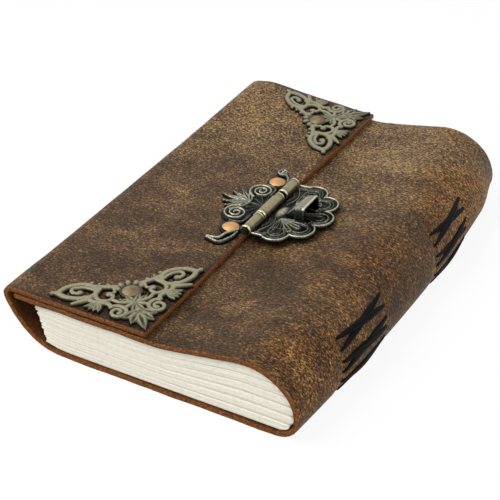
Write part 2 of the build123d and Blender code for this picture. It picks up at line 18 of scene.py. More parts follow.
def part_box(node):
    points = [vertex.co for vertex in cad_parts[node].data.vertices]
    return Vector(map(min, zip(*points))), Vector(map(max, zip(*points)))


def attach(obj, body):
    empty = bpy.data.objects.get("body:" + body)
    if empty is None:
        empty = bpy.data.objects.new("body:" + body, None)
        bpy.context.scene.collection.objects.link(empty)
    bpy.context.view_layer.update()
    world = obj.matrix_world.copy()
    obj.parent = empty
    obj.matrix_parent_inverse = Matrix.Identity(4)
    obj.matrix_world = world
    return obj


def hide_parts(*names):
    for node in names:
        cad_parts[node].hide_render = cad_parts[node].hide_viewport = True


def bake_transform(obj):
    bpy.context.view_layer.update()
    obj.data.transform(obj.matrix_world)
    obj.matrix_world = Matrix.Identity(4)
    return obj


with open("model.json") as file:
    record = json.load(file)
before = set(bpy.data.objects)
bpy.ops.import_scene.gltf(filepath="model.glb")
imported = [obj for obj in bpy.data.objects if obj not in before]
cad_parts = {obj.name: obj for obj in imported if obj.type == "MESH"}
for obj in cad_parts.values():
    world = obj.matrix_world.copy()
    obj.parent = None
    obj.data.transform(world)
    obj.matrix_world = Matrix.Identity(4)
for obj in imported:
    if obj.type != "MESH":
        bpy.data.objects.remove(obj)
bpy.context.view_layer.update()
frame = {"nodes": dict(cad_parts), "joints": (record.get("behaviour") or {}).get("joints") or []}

MM = 0.001
FIT = 0.3 * MM
LOG = logging.getLogger("diary")


class End(Enum):
    """The two ends of the book."""

    NEAR = -1
    FAR = 1

    @property
    def label(self) -> str:
        """The end's word in piece names."""
        return self.name.lower()


def linear(code: str) -> tuple[float, float, float, float]:
    """Turn an sRGB hex colour into linear light.

    Args:
        code: six hex digits, red first.

    Returns:
        Linear red, green and blue, with an alpha of 1.
    """
    parts = [int(code[at:at + 2], 16) / 255 for at in (0, 2, 4)]
    return tuple(p / 12.92 if p <= 0.04045 else ((p + 0.055) / 1.055) ** 2.4 for p in parts) + (1.0,)


def mm(*lengths: float) -> tuple[float, ...]:
    """Lengths in millimetres, as metres."""
    return tuple(length * MM for length in lengths)


def ease(low: float, high: float, value: np.ndarray | float) -> np.ndarray | float:
    """Smooth step of a value, from 0 at low to 1 at high."""
    part = np.clip((np.asarray(value, float) - low) / (high - low), 0.0, 1.0)
    return part * part * (3.0 - 2.0 * part)


def wander(x: float, y: float, z: float = 0.0) -> float:
    """Smooth noise about zero at a place given in wavelengths."""
    return noise.noise(Vector((x, y, z)))


def feed(tree: bpy.types.NodeTree, node: bpy.types.Node, feeds: dict) -> None:
    """Set or link a node's inputs.

    Args:
        tree: the node's tree.
        node: the node.
        feeds: for each input, its value, the output socket linked to it, or the node whose first output is.
    """
    for name, value in feeds.items():
        if isinstance(value, bpy.types.Node):
            value = value.outputs[0]
        if isinstance(value, bpy.types.NodeSocket):
            tree.links.new(value, node.inputs[name])
        else:
            node.inputs[name].default_value = value


def add(tree: bpy.types.NodeTree, kind: str, feeds: dict | None = None, stops: tuple[tuple[float, str], ...] = (),
        **settings: object) -> bpy.types.Node:
    """Add a node to a tree.

    Args:
        tree: the tree that takes the node.
        kind: the node's type.
        feeds: what its inputs get.
        stops: places from 0 to 1 and their hex colours, for a node with a colour ramp.
        settings: the node's own properties.

    Returns:
        The node.
    """
    made = tree.nodes.new(kind)
    for name, value in settings.items():
        setattr(made, name, value)
    feed(tree, made, feeds or {})
    for number, (place, code) in enumerate(stops):
        points = made.color_ramp.elements
        point = points[number] if number < len(points) else points.new(place)
        point.position = place
        point.color = linear(code)
    return made


def new_material(name: str) -> tuple[bpy.types.Material, bpy.types.NodeTree, bpy.types.Node]:
    """Start a material with an empty Principled shader.

    Args:
        name: the material's name.

    Returns:
        The material, its tree and its shader.
    """
    made = bpy.data.materials.new(name)
    made.use_nodes = True
    return made, made.node_tree, made.node_tree.nodes["Principled BSDF"]


def placed(name: str, data: bpy.types.ID) -> bpy.types.Object:
    """Put an object with its data into the scene."""
    made = bpy.data.objects.new(name, data)
    bpy.context.scene.collection.objects.link(made)
    return made


def woven(first: int, rows: int, columns: int, closed: tuple[bool, bool] = (False, False)) -> list[tuple[int, ...]]:
    """Faces between points that lie in rows.

    Args:
        first: number of the first point.
        rows: how many rows there are.
        columns: how many points a row has.
        closed: whether the last row meets the first, and whether each row closes on itself.

    Returns:
        The faces as point numbers.
    """
    faces = []
    for i in range(rows if closed[0] else rows - 1):
        here, after = first + i * columns, first + (i + 1) % rows * columns
        for j in range(columns if closed[1] else columns - 1):
            beside = (j + 1) % columns
            faces.append((here + j, here + beside, after + beside, after + j))
    return faces


def mesh_piece(name: str, points: np.ndarray, faces: list, material: bpy.types.Material,
               **layers: np.ndarray) -> bpy.types.Object:
    """Make a closed smooth mesh with its point attributes.

    Args:
        name: the piece's name.
        points: its points in metres.
        faces: its faces as point numbers.
        material: its finish.
        layers: point attributes, one number or three for each point.

    Returns:
        The piece, in the scene and at the origin.
    """
    mesh = bpy.data.meshes.new(name)
    mesh.from_pydata(np.asarray(points).tolist(), [], faces)
    for layer, values in layers.items():
        triple = np.ndim(values) == 2
        made = mesh.attributes.new(layer, "FLOAT_VECTOR" if triple else "FLOAT", "POINT")
        made.data.foreach_set("vector" if triple else "value", np.asarray(values, np.float32).ravel())
    work = bmesh.new()
    work.from_mesh(mesh)
    bmesh.ops.recalc_face_normals(work, faces=work.faces)
    work.to_mesh(mesh)
    work.free()
    mesh.materials.append(material)
    mesh.shade_smooth()
    return placed(name, mesh)


@dataclass(frozen=True)
class WaxedHide:
    """Pull-up cowhide, waxed and rubbed: dark brown flecked with tan along its grain, warmer where hands rub it, and
    with painted shade where the corner plates cover it.
    """

    cool: tuple[str, ...] = ("170e07", "3a2818", "634a2f", "ae9164")
    warm: tuple[str, ...] = ("1b0e06", "472c14", "785128", "b99055")
    nap: tuple[str, ...] = ("2b1508", "603718")
    cut: tuple[str, ...] = ("33190a", "6e3f1a", "9c6833")
    levels: tuple[float, ...] = (0.27, 0.44, 0.57, 0.74)
    stain_share: float = 0.36
    stain_base: float = -0.135
    patch_share: float = 0.22
    pale_and_shade_share: float = 0.1
    grain_base: float = 0.3
    contrast: tuple[float, float] = (0.85, 1.6)
    heat: tuple[float, float] = (0.12, 0.42)
    dull: tuple[float, float] = (0.42, 0.66)
    depth: float = 0.3 * MM
    grain: float = 0.56 * MM
    patch: float = 6.0 * MM
    mottle: float = 16.0 * MM
    streak: float = 1.7

    def material(self) -> bpy.types.Material:
        """Build the leather: its grain side, flesh side and cut edge, told apart by the piece's attributes."""
        made, tree, shader = new_material("waxed_cowhide")
        flat = add(tree, "ShaderNodeAttribute", attribute_name="flat").outputs["Vector"]
        raw, flesh, worn, pale_and_shade = (add(tree, "ShaderNodeAttribute", attribute_name=name).outputs["Fac"]
                                  for name in ("raw", "flesh", "worn", "pale_and_shade"))
        # The hide is streaked across the book, so its stains and its grain are drawn out that way.
        drawn = add(tree, "ShaderNodeMapping", {"Vector": flat, "Scale": (1 / self.streak, 1.0, 1.0)})
        mottle, patch, grain = (
            add(tree, "ShaderNodeTexNoise", {"Vector": where, "Scale": 1 / size, "Detail": detail, "Roughness": rough,
                                             "Distortion": stirred})
            for where, size, detail, rough, stirred in ((drawn, self.mottle, 5.0, 0.6, 0.0),
                                                        (flat, self.patch, 4.0, 0.6, 0.8),
                                                        (drawn, self.grain, 3.0, 0.62, 0.6)))
        # Broad stains, then patches, then bleach and the painted shade under the corner plates shift how much of the
        # tan grain shows through the dark wax.
        stain = add(tree, "ShaderNodeMath", {0: mottle, 1: self.stain_share, 2: self.stain_base},
                    operation="MULTIPLY_ADD")
        spread = add(tree, "ShaderNodeMath", {0: patch, 1: self.patch_share, 2: stain}, operation="MULTIPLY_ADD")
        # Here the bleach and the painted shade under the corner plates join the stains.
        stain_pale_and_shade = add(tree, "ShaderNodeMath", {0: pale_and_shade, 1: self.pale_and_shade_share, 2: spread}, operation="MULTIPLY_ADD")
        pale_shade_and_wear_peak = add(tree, "ShaderNodeMath", {0: pale_and_shade, 1: worn}, operation="MAXIMUM")
        keen = add(tree, "ShaderNodeMapRange", {"Value": pale_shade_and_wear_peak, "To Min": self.contrast[0],
                                                "To Max": self.contrast[1]})
        about = add(tree, "ShaderNodeMath", {0: grain, 1: 0.5}, operation="SUBTRACT")
        rubbed = add(tree, "ShaderNodeMath", {0: about, 1: keen, 2: self.grain_base}, operation="MULTIPLY_ADD")
        fleck = add(tree, "ShaderNodeMath", {0: rubbed, 1: stain_pale_and_shade}, operation="ADD")
        cool, warm = (add(tree, "ShaderNodeValToRGB", {"Fac": fleck}, stops=tuple(zip(self.levels, tones)))
                      for tones in (self.cool, self.warm))
        turned = add(tree, "ShaderNodeMath", {0: worn, 1: patch}, operation="MULTIPLY")
        heat = add(tree, "ShaderNodeMapRange", {"Value": turned, "From Min": self.heat[0], "From Max": self.heat[1]})
        tufts = add(tree, "ShaderNodeMath", {0: about, 1: patch}, operation="ADD")
        nap = add(tree, "ShaderNodeValToRGB", {"Fac": tufts}, stops=tuple(zip((0.25, 0.75), self.nap)))
        fibre = add(tree, "ShaderNodeValToRGB", {"Fac": grain}, stops=tuple(zip((0.3, 0.5, 0.7), self.cut)))
        colour = cool
        for share, over in ((heat, warm), (flesh, nap), (raw, fibre)):
            colour = add(tree, "ShaderNodeMix", {"Factor": share, 6: colour, 7: over}, data_type="RGBA").outputs[2]
        dull = add(tree, "ShaderNodeMapRange", {"Value": patch, "To Min": self.dull[0], "To Max": self.dull[1]})
        rough = add(tree, "ShaderNodeMath", {0: dull, 1: flesh}, operation="MAXIMUM")
        bump = add(tree, "ShaderNodeBump", {"Height": grain, "Strength": 0.6, "Distance": self.depth})
        feed(tree, shader, {"Base Color": colour, "Roughness": rough, "Normal": bump, "Specular IOR Level": 0.16})
        return made


@dataclass(frozen=True)
class RagPaper:
    """Handmade cotton rag paper: cream and matt, with soft fibres."""

    light: str = "f4f0e2"
    shade: str = "ece6d5"
    fibre: float = 1.6 * MM

    def material(self) -> bpy.types.Material:
        """Build the paper."""
        made, tree, shader = new_material("cotton_rag_paper")
        place = add(tree, "ShaderNodeTexCoord").outputs["Object"]
        fibre = add(tree, "ShaderNodeTexNoise", {"Vector": place, "Scale": 1 / self.fibre, "Detail": 4.0})
        colour = add(tree, "ShaderNodeValToRGB", {"Fac": fibre}, stops=((0.3, self.shade), (0.55, self.light)))
        bump = add(tree, "ShaderNodeBump", {"Height": fibre, "Strength": 0.2, "Distance": 0.1 * MM})
        feed(tree, shader, {"Base Color": colour, "Normal": bump, "Roughness": 0.9, "Specular IOR Level": 0.2})
        return made


@dataclass(frozen=True)
class WaxedThread:
    """Waxed linen thread, black: two plies laid together, with a dull shine."""

    black: str = "030405"
    ply: float = 1.1 * MM

    def material(self) -> bpy.types.Material:
        """Build the thread, whose plies follow the attributes that run along and round it."""
        made, tree, shader = new_material("waxed_linen_thread")
        along, around = (add(tree, "ShaderNodeAttribute", attribute_name=name).outputs["Fac"]
                         for name in ("along", "around"))
        lay = add(tree, "ShaderNodeMath", {0: along, 1: 1 / self.ply, 2: around}, operation="MULTIPLY_ADD")
        turn = add(tree, "ShaderNodeMath", {0: lay, 1: 2 * math.tau}, operation="MULTIPLY")
        wave = add(tree, "ShaderNodeMath", {0: turn}, operation="SINE")
        bump = add(tree, "ShaderNodeBump", {"Height": wave, "Strength": 0.5, "Distance": 0.15 * MM})
        feed(tree, shader, {"Base Color": linear(self.black), "Normal": bump, "Roughness": 0.55,
                            "Specular IOR Level": 0.08})
        return made


@dataclass(frozen=True)
class AgedBronze:
    """Cast bronze, blackened and rubbed back: dark in the hollows and bright where hands reach."""

    name: str
    tones: tuple[str, str, str]
    levels: tuple[float, float, float] = (0.3, 0.68, 0.95)
    metal: float = 0.85
    rough: float = 0.42
    cast: bool = True
    stir: float = 0.35
    grit: float = 0.6 * MM

    def material(self) -> bpy.types.Material:
        """Build the metal, rubbed by the casting's height where it has one."""
        made, tree, shader = new_material(self.name)
        place = add(tree, "ShaderNodeTexCoord").outputs["Object"]
        grit = add(tree, "ShaderNodeTexNoise", {"Vector": place, "Scale": 1 / self.grit, "Detail": 4.0,
                                                "Roughness": 0.65})
        if self.cast:
            height = add(tree, "ShaderNodeAttribute", attribute_name="height").outputs["Fac"]
            sunk = add(tree, "ShaderNodeMath", {0: height, 1: -self.stir / 2}, operation="ADD")
            level = add(tree, "ShaderNodeMath", {0: grit, 1: self.stir, 2: sunk}, operation="MULTIPLY_ADD")
        else:
            level = add(tree, "ShaderNodeTexNoise", {"Vector": place, "Scale": 0.2 / self.grit, "Detail": 3.0})
        colour = add(tree, "ShaderNodeValToRGB", {"Fac": level}, stops=tuple(zip(self.levels, self.tones)))
        dull = add(tree, "ShaderNodeMapRange", {"Value": grit, "To Min": self.rough - 0.12,
                                                "To Max": self.rough + 0.2})
        bump = add(tree, "ShaderNodeBump", {"Height": grit, "Strength": 0.35, "Distance": 0.1 * MM})
        feed(tree, shader, {"Base Color": colour, "Roughness": dull, "Normal": bump, "Metallic": self.metal})
        return made


@dataclass(frozen=True)
class Finishes:
    """The diary's materials, made once."""

    hide: bpy.types.Material
    paper: bpy.types.Material
    thread: bpy.types.Material
    corner: bpy.types.Material
    clasp: bpy.types.Material
    knuckle: bpy.types.Material
    plain: bpy.types.Material
    copper: bpy.types.Material
    brass: bpy.types.Material

    @classmethod
    def make(cls) -> "Finishes":
        """Make every finish of the diary."""
        return cls(
            hide=WaxedHide().material(),
            paper=RagPaper().material(),
            thread=WaxedThread().material(),
            corner=AgedBronze("cast_grey_bronze", ("14130b", "504c37", "938e73"), levels=(0.6, 0.84, 1.0),
                              metal=0.5, rough=0.46, stir=0.4).material(),
            clasp=AgedBronze("cast_black_bronze", ("070706", "383931", "c6c2a8"), levels=(0.42, 0.7, 0.98),
                             metal=0.75, rough=0.34, stir=0.5).material(),
            knuckle=AgedBronze("rubbed_bronze_tube", ("1a170e", "8c8465", "dcd5b2"), metal=0.85,
                               rough=0.32).material(),
            plain=AgedBronze("black_bronze_plate", ("191713", "4a4537", "80775c"), cast=False).material(),
            copper=AgedBronze("satin_copper", ("b98a58", "cd9f6b", "dfb887"), metal=0.6, rough=0.5,
                              cast=False).material(),
            brass=AgedBronze("dull_brass", ("66553a", "8a7656", "a8946f"), metal=0.5, rough=0.55,
                             cast=False).material(),
        )


@dataclass(frozen=True)
class BookLines:
    """Lines of the closed book that its pieces share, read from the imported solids."""

    BOW = 4.7 * MM
    BOW_MIDDLE = 14 * MM
    BOW_NEAR = 105 * MM
    BOW_FAR = 80 * MM
    BOW_ACROSS = mm(10, 50)
    DRAWN_IN = 2.6 * MM
    DRAWN_FROM = 66 * MM

    x_fold: float
    x_hinge: float
    x_edge: float
    x_wrap: float
    x_spine: float
    x_shoulder: float
    x_tip: float
    flap_top: float
    cover_top: float
    spine_top: float
    leather: float
    half: float

    @classmethod
    def from_frame(cls) -> "BookLines":
        """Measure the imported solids."""
        flap_low, flap_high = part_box("flap")
        back_low, back_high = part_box("back_cover")
        spine_low, spine_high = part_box("spine")
        tongue_low, tongue_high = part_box("front_cover_tongue")
        return cls(
            x_fold=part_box("fore_edge_wrap")[0].x, x_hinge=flap_low.x - FIT, x_edge=flap_high.x,
            x_wrap=back_low.x, x_spine=spine_high.x, x_shoulder=spine_low.x,
            x_tip=tongue_low.x, flap_top=flap_high.z, cover_top=tongue_high.z, spine_top=spine_high.z,
            leather=back_high.z - back_low.z, half=flap_high.y)

    def swell(self, x: float, y: float) -> float:
        """How far the stuffed spine stands out: most past the middle of its length, drawn in at the far end."""
        off = y - self.BOW_MIDDLE
        bow = self.BOW * (1.0 - (off / (self.BOW_NEAR if off < 0 else self.BOW_FAR)) ** 2)
        return ease(*self.BOW_ACROSS, x) * (bow - self.DRAWN_IN * ease(self.DRAWN_FROM, self.half, y))


@dataclass(frozen=True)
class Stretch:
    """A stretch of the hide's section: its length along the middle of the leather, and its turn to the left."""

    length: float
    turn: float = 0.0


class HidePath:
    """Middle line of the leather in section, from the flap's free edge round to the tip that lies under it."""

    WRAP_TURN = math.radians(75)
    FOOT_RADIUS = 8.5 * MM
    SPINE_TUCK = 0.3 * MM
    BEND_SHARE = 0.45
    BEND_RUN_OUT = 3.0 * MM

    def __init__(self, book: BookLines) -> None:
        """Lay out the stretches.

        Args:
            book: the book's lines.
        """
        mid = book.leather / 2
        fold = book.x_hinge - book.x_fold
        self.wrap_radius = fold + (book.x_wrap - book.x_hinge) / math.sin(self.WRAP_TURN)
        eighth = math.sqrt(0.5)
        foot = self.FOOT_RADIUS
        x_back = book.x_spine - self.SPINE_TUCK
        wide, tall = x_back - book.x_shoulder, book.spine_top - foot
        low = (tall - (1 - eighth) * wide / eighth) / (eighth - (1 - eighth) ** 2 / eighth)
        high = (wide - (1 - eighth) * low) / eighth
        self.leather = book.leather
        self.arcs = [(x_back - foot, foot, foot, 0.0), (x_back - low, foot, low, eighth),
                     (book.x_shoulder, book.spine_top - high, high, 1.0)]
        self.x_cover = book.x_shoulder - FIT
        self.x_bend = book.x_edge + self.BEND_RUN_OUT
        run = self.x_cover - self.x_bend
        rise = book.spine_top - book.cover_top
        bend = self.BEND_SHARE * (run**2 + rise**2) / (4 * rise)
        fall = rise - 2 * bend
        self.slope = math.atan2(fall, run) + math.asin(2 * bend / math.hypot(fall, run))
        self.bend_corner = bend * math.tan(self.slope / 2)
        quarter = math.pi / 2
        over = math.pi - self.WRAP_TURN
        self.stretches = [
            Stretch(book.x_edge - book.x_hinge),
            Stretch((fold - mid) * over, over),
            Stretch((self.wrap_radius - mid) * self.WRAP_TURN, self.WRAP_TURN),
            Stretch(x_back - foot - book.x_wrap),
            Stretch((foot - mid) * quarter, quarter),
            Stretch((low - mid) * quarter / 2, quarter / 2),
            Stretch((high - mid) * quarter / 2, quarter / 2),
            Stretch(FIT),
            Stretch(bend * self.slope, self.slope),
            Stretch(math.sqrt(run**2 + rise**2 - 4 * bend * rise)),
            Stretch(bend * self.slope, -self.slope),
            Stretch(self.x_bend - book.x_tip),
        ]
        self.marks = np.concatenate([[0.0], np.cumsum([stretch.length for stretch in self.stretches])])
        self.start = np.array([book.x_edge, book.flap_top - mid])

    def spine_at(self, height: float, out: float) -> tuple[Vector, Vector]:
        """A place over the spine's outer face.

        Args:
            height: its height above the table, on the outer face.
            out: its distance off the leather.

        Returns:
            The place in X and Z, and the direction up along the leather there.
        """
        x, z, radius, _ = next(arc for arc in self.arcs if arc[3] == 1.0 or height <= arc[1] + arc[2] * arc[3])
        lean = math.asin(min(1.0, max(-1.0, (height - z) / radius)))
        way = Vector((math.cos(lean), 0, math.sin(lean)))
        return Vector((x, 0, z)) + way * (radius + out), Vector((-math.sin(lean), 0, math.cos(lean)))

    def wall_at(self, height: float) -> float:
        """X of the spine's inner face at a height."""
        for x, z, radius, top in self.arcs:
            inner = radius - self.leather
            if top == 1.0 or height <= z + inner * top:
                return x + math.sqrt(max(inner**2 - (height - z) ** 2, 0.0))
        return self.arcs[-1][0]

    def at(self, along: np.ndarray) -> tuple[np.ndarray, np.ndarray]:
        """Places on the path.

        Args:
            along: distances from the flap's free edge.

        Returns:
            The places in X and Z, and the directions out of the book there.
        """
        places = np.zeros((len(along), 2))
        outward = np.zeros((len(along), 2))
        point, heading = self.start, math.pi
        for number, stretch in enumerate(self.stretches):
            last = number == len(self.stretches) - 1
            here = (along >= self.marks[number]) & ((along < self.marks[number + 1]) | last)
            local = np.append(along[here] - self.marks[number], stretch.length)
            if stretch.turn:
                radius = stretch.length / stretch.turn
                angle = heading + local / radius
                steps = radius * np.stack([np.sin(angle) - math.sin(heading), math.cos(heading) - np.cos(angle)], 1)
            else:
                angle = np.full(len(local), heading)
                steps = local[:, None] * np.array([math.cos(heading), math.sin(heading)])
            places[here] = (point + steps)[:-1]
            outward[here] = np.stack([np.sin(angle), -np.cos(angle)], 1)[:-1]
            point = point + steps[-1]
            heading += stretch.turn
        return places, outward


@dataclass
class Lacing:
    """Two blocks of crossed black threads through the spine."""

    book: BookLines
    path: HidePath
    rows: int = 6
    row_high: float = 0.78
    row_low: float = 0.13
    inner: float = 21.0 * MM
    outer: float = 53.0 * MM
    drift: float = -3.5 * MM
    lean: float = 0.35
    thread: float = 0.8 * MM
    spread: float = 0.55 * MM
    sink: float = 1.2 * MM
    sway: float = 0.35 * MM
    bedded: float = 0.15
    tip: float = 0.45
    belly: float = 0.65
    sides: int = 10
    lifts: tuple[float, float] = (0.0, 0.45 * MM)

    def heights(self) -> list[float]:
        """Heights of the rows of holes, from the top."""
        step = (self.row_high - self.row_low) / (self.rows - 1)
        return [self.book.spine_top * (self.row_high - step * row) for row in range(self.rows)]

    def shifted(self, height: float) -> float:
        """How far a row of holes lies along the book from its block's place: the lower rows lie nearer."""
        return self.drift - self.lean * (self.heights()[0] - height)

    def holes(self) -> list[tuple[float, float]]:
        """Heights and places along the book of all the holes."""
        columns = (-self.outer, -self.inner, self.inner, self.outer)
        return [(height, column + self.shifted(height)) for height in self.heights() for column in columns]

    def strand(self, start: tuple[float, float], stop: tuple[float, float], lift: float,
               side: int) -> list[Vector]:
        """Control points of one of the two threads of a strand, from hole to hole.

        Args:
            start: height and place along the book of its first hole.
            stop: the same of its last hole.
            lift: how far it stands off the leather at the crossing.
            side: which of the two threads.

        Returns:
            Its control points.
        """
        points = []
        for part in (0.0, 0.02, 0.1, 0.3, 0.5, 0.7, 0.9, 0.98, 1.0):
            height = start[0] + (stop[0] - start[0]) * part
            crown = math.sin(math.pi * part)
            out = -self.sink if part in (0.0, 1.0) else lift * crown**2 - self.thread * self.bedded
            place, up = self.path.spine_at(height, out)
            along = start[1] + (stop[1] - start[1]) * part
            sway = self.sway * wander(7 * part, 300 * start[0], 60 * start[1] + side)
            points.append(place + up * (side * self.spread * crown**0.7 + sway * crown)
                          + Vector((self.book.swell(place.x, along), along, 0)))
        return points

    def thread_tree(self) -> bpy.types.NodeTree:
        """Geometry nodes that sweep a round thread along every path and keep its way along and round."""
        tree = bpy.data.node_groups.new("swept_thread", "GeometryNodeTree")
        for name, kind in (("Paths", "Geometry"), ("Thread radius", "Float"), ("Swell", "Float"), ("Sides", "Int"),
                           ("Finish", "Material")):
            tree.interface.new_socket(name, in_out="INPUT", socket_type=f"NodeSocket{kind}")
        tree.interface.new_socket("Threads", in_out="OUTPUT", socket_type="NodeSocketGeometry")
        given = add(tree, "NodeGroupInput").outputs
        run = add(tree, "GeometryNodeSplineParameter").outputs
        path = add(tree, "GeometryNodeStoreNamedAttribute",
                   {"Geometry": given["Paths"], "Name": "along", "Value": run["Length"]}, data_type="FLOAT")
        ring = add(tree, "GeometryNodeCurvePrimitiveCircle",
                   {"Resolution": given["Sides"], "Radius": given["Thread radius"]})
        turn = add(tree, "GeometryNodeStoreNamedAttribute",
                   {"Geometry": ring, "Name": "around", "Value": run["Factor"]}, data_type="FLOAT")
        half_turn = add(tree, "ShaderNodeMath", {0: run["Factor"], 1: math.pi}, operation="MULTIPLY")
        belly = add(tree, "ShaderNodeMath", {0: half_turn}, operation="SINE")
        taper = add(tree, "ShaderNodeMath", {0: belly, 1: given["Swell"], 2: self.tip}, operation="MULTIPLY_ADD")
        swept = add(tree, "GeometryNodeCurveToMesh",
                    {"Curve": path, "Profile Curve": turn, "Scale": taper, "Fill Caps": True})
        soft = add(tree, "GeometryNodeSetShadeSmooth", {"Geometry": swept})
        real = add(tree, "GeometryNodeRealizeInstances", {"Geometry": soft})
        done = add(tree, "GeometryNodeSetMaterial", {"Geometry": real, "Material": given["Finish"]})
        add(tree, "NodeGroupOutput", {"Threads": done})
        return tree

    def build(self, finishes: Finishes) -> None:
        """Make every crossed pair of strands, as one piece each.

        Args:
            finishes: the diary's materials.
        """
        tree = self.thread_tree()
        inputs = {item.name: item.identifier for item in tree.interface.items_tree if item.in_out == "INPUT"}
        heights = self.heights()
        for end in End:
            for pair in range(self.rows // 2):
                curve = bpy.data.curves.new(f"thread_path_{end.label}_{pair + 1}", "CURVE")
                curve.dimensions = "3D"
                curve.resolution_u = 8
                high, low = heights[2 * pair:2 * pair + 2]
                for order, (first, last) in enumerate(((low, high), (high, low))):
                    for side in (-1, 1):
                        points = self.strand((first, end.value * self.outer + self.shifted(first)),
                                             (last, end.value * self.inner + self.shifted(last)),
                                             self.lifts[order], side)
                        spline = curve.splines.new("NURBS")
                        spline.points.add(len(points) - 1)
                        for control, point in zip(spline.points, points):
                            control.co = (*point, 1.0)
                        spline.order_u = 3
                        spline.use_endpoint_u = True
                carrier = placed(curve.name, curve)
                sweep = carrier.modifiers.new("sweep", "NODES")
                sweep.node_group = tree
                for name, value in (("Thread radius", self.thread), ("Swell", self.belly), ("Sides", self.sides),
                                    ("Finish", finishes.thread)):
                    sweep[inputs[name]] = value
                graph = bpy.context.evaluated_depsgraph_get()
                mesh = bpy.data.meshes.new_from_object(carrier.evaluated_get(graph), depsgraph=graph)
                bpy.data.objects.remove(carrier)
                piece = placed(f"thread_{end.label}_{pair + 1}", mesh)
                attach(piece, "book")
                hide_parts(f"lacing_{end.label}_{pair + 1}")
                LOG.info("lacing: %s, %d faces", piece.name, len(mesh.polygons))


@dataclass(frozen=True)
class HideWear:
    """Where the leather is rubbed warm, where bleach lightens it, where it is darker low on the spine, and where
    painted shade darkens it under the corner plates.
    """

    book: BookLines
    spine_rub: tuple[float, ...] = mm(22, 52)
    foot_clean: tuple[float, ...] = mm(2, 8)
    end_rub: tuple[float, ...] = mm(20, 70)
    fold_rub: tuple[float, ...] = mm(-52, -25)
    fold_share: float = 0.5
    drift: tuple[float, float] = (0.5, 0.9)
    drift_run: float = 30.0 * MM
    everywhere: float = 0.12
    spine_down: tuple[float, ...] = mm(40, 56)
    spine_low: tuple[float, ...] = mm(24, 14)
    plate_leg: float = 41.0 * MM
    plate_rim: tuple[float, float] = (1.34, 1.18)
    far_pale: tuple[float, ...] = mm(-20, 75)
    # Base lightness, the far end's bleach, the darkening low on the spine, and the depth of the painted shade under
    # the corner plates.
    pale_and_shade_levels: tuple[float, float, float, float] = (0.2, 0.7, 0.1, 1.1)

    def rubbed(self, place: np.ndarray, along: float, y: float) -> float:
        """How far the leather is rubbed warm at a place, from 0 to 1."""
        x, z = place
        spine = ease(*self.spine_rub, x) * ease(*self.foot_clean, z)
        fold = self.fold_share * ease(*self.end_rub, y) * (1.0 - ease(*self.fold_rub, x))
        drift = self.drift[0] + self.drift[1] * wander(along / self.drift_run, y / self.drift_run, 2.0)
        return max(0.0, min(1.0, (spine + fold) * drift + self.everywhere))

    def paled_and_shaded(self, place: np.ndarray, y: float) -> float:
        """How light the leather is at a place: lightest at the far end by bleach, darker low on the spine, and
        darkest under the corner plates with painted shade, so that their piercings look deep.
        """
        x, z = place
        down = ease(*self.spine_down, x) * ease(*self.spine_low, z)
        across, along = abs(self.book.x_edge - x), max(self.book.half - abs(y), 0.0)
        covered = math.sqrt(across / self.plate_leg) + math.sqrt(along / self.plate_leg)
        # Painted shade: the leather under the corner plates is darkened so that their piercings look deep.
        plate_shade = ease(*self.plate_rim, covered) * (z > self.book.cover_top and x <= self.book.x_edge)
        base, far, low, plate_shade_weight = self.pale_and_shade_levels
        return base + far * ease(*self.far_pale, y) - low * down - plate_shade_weight * plate_shade


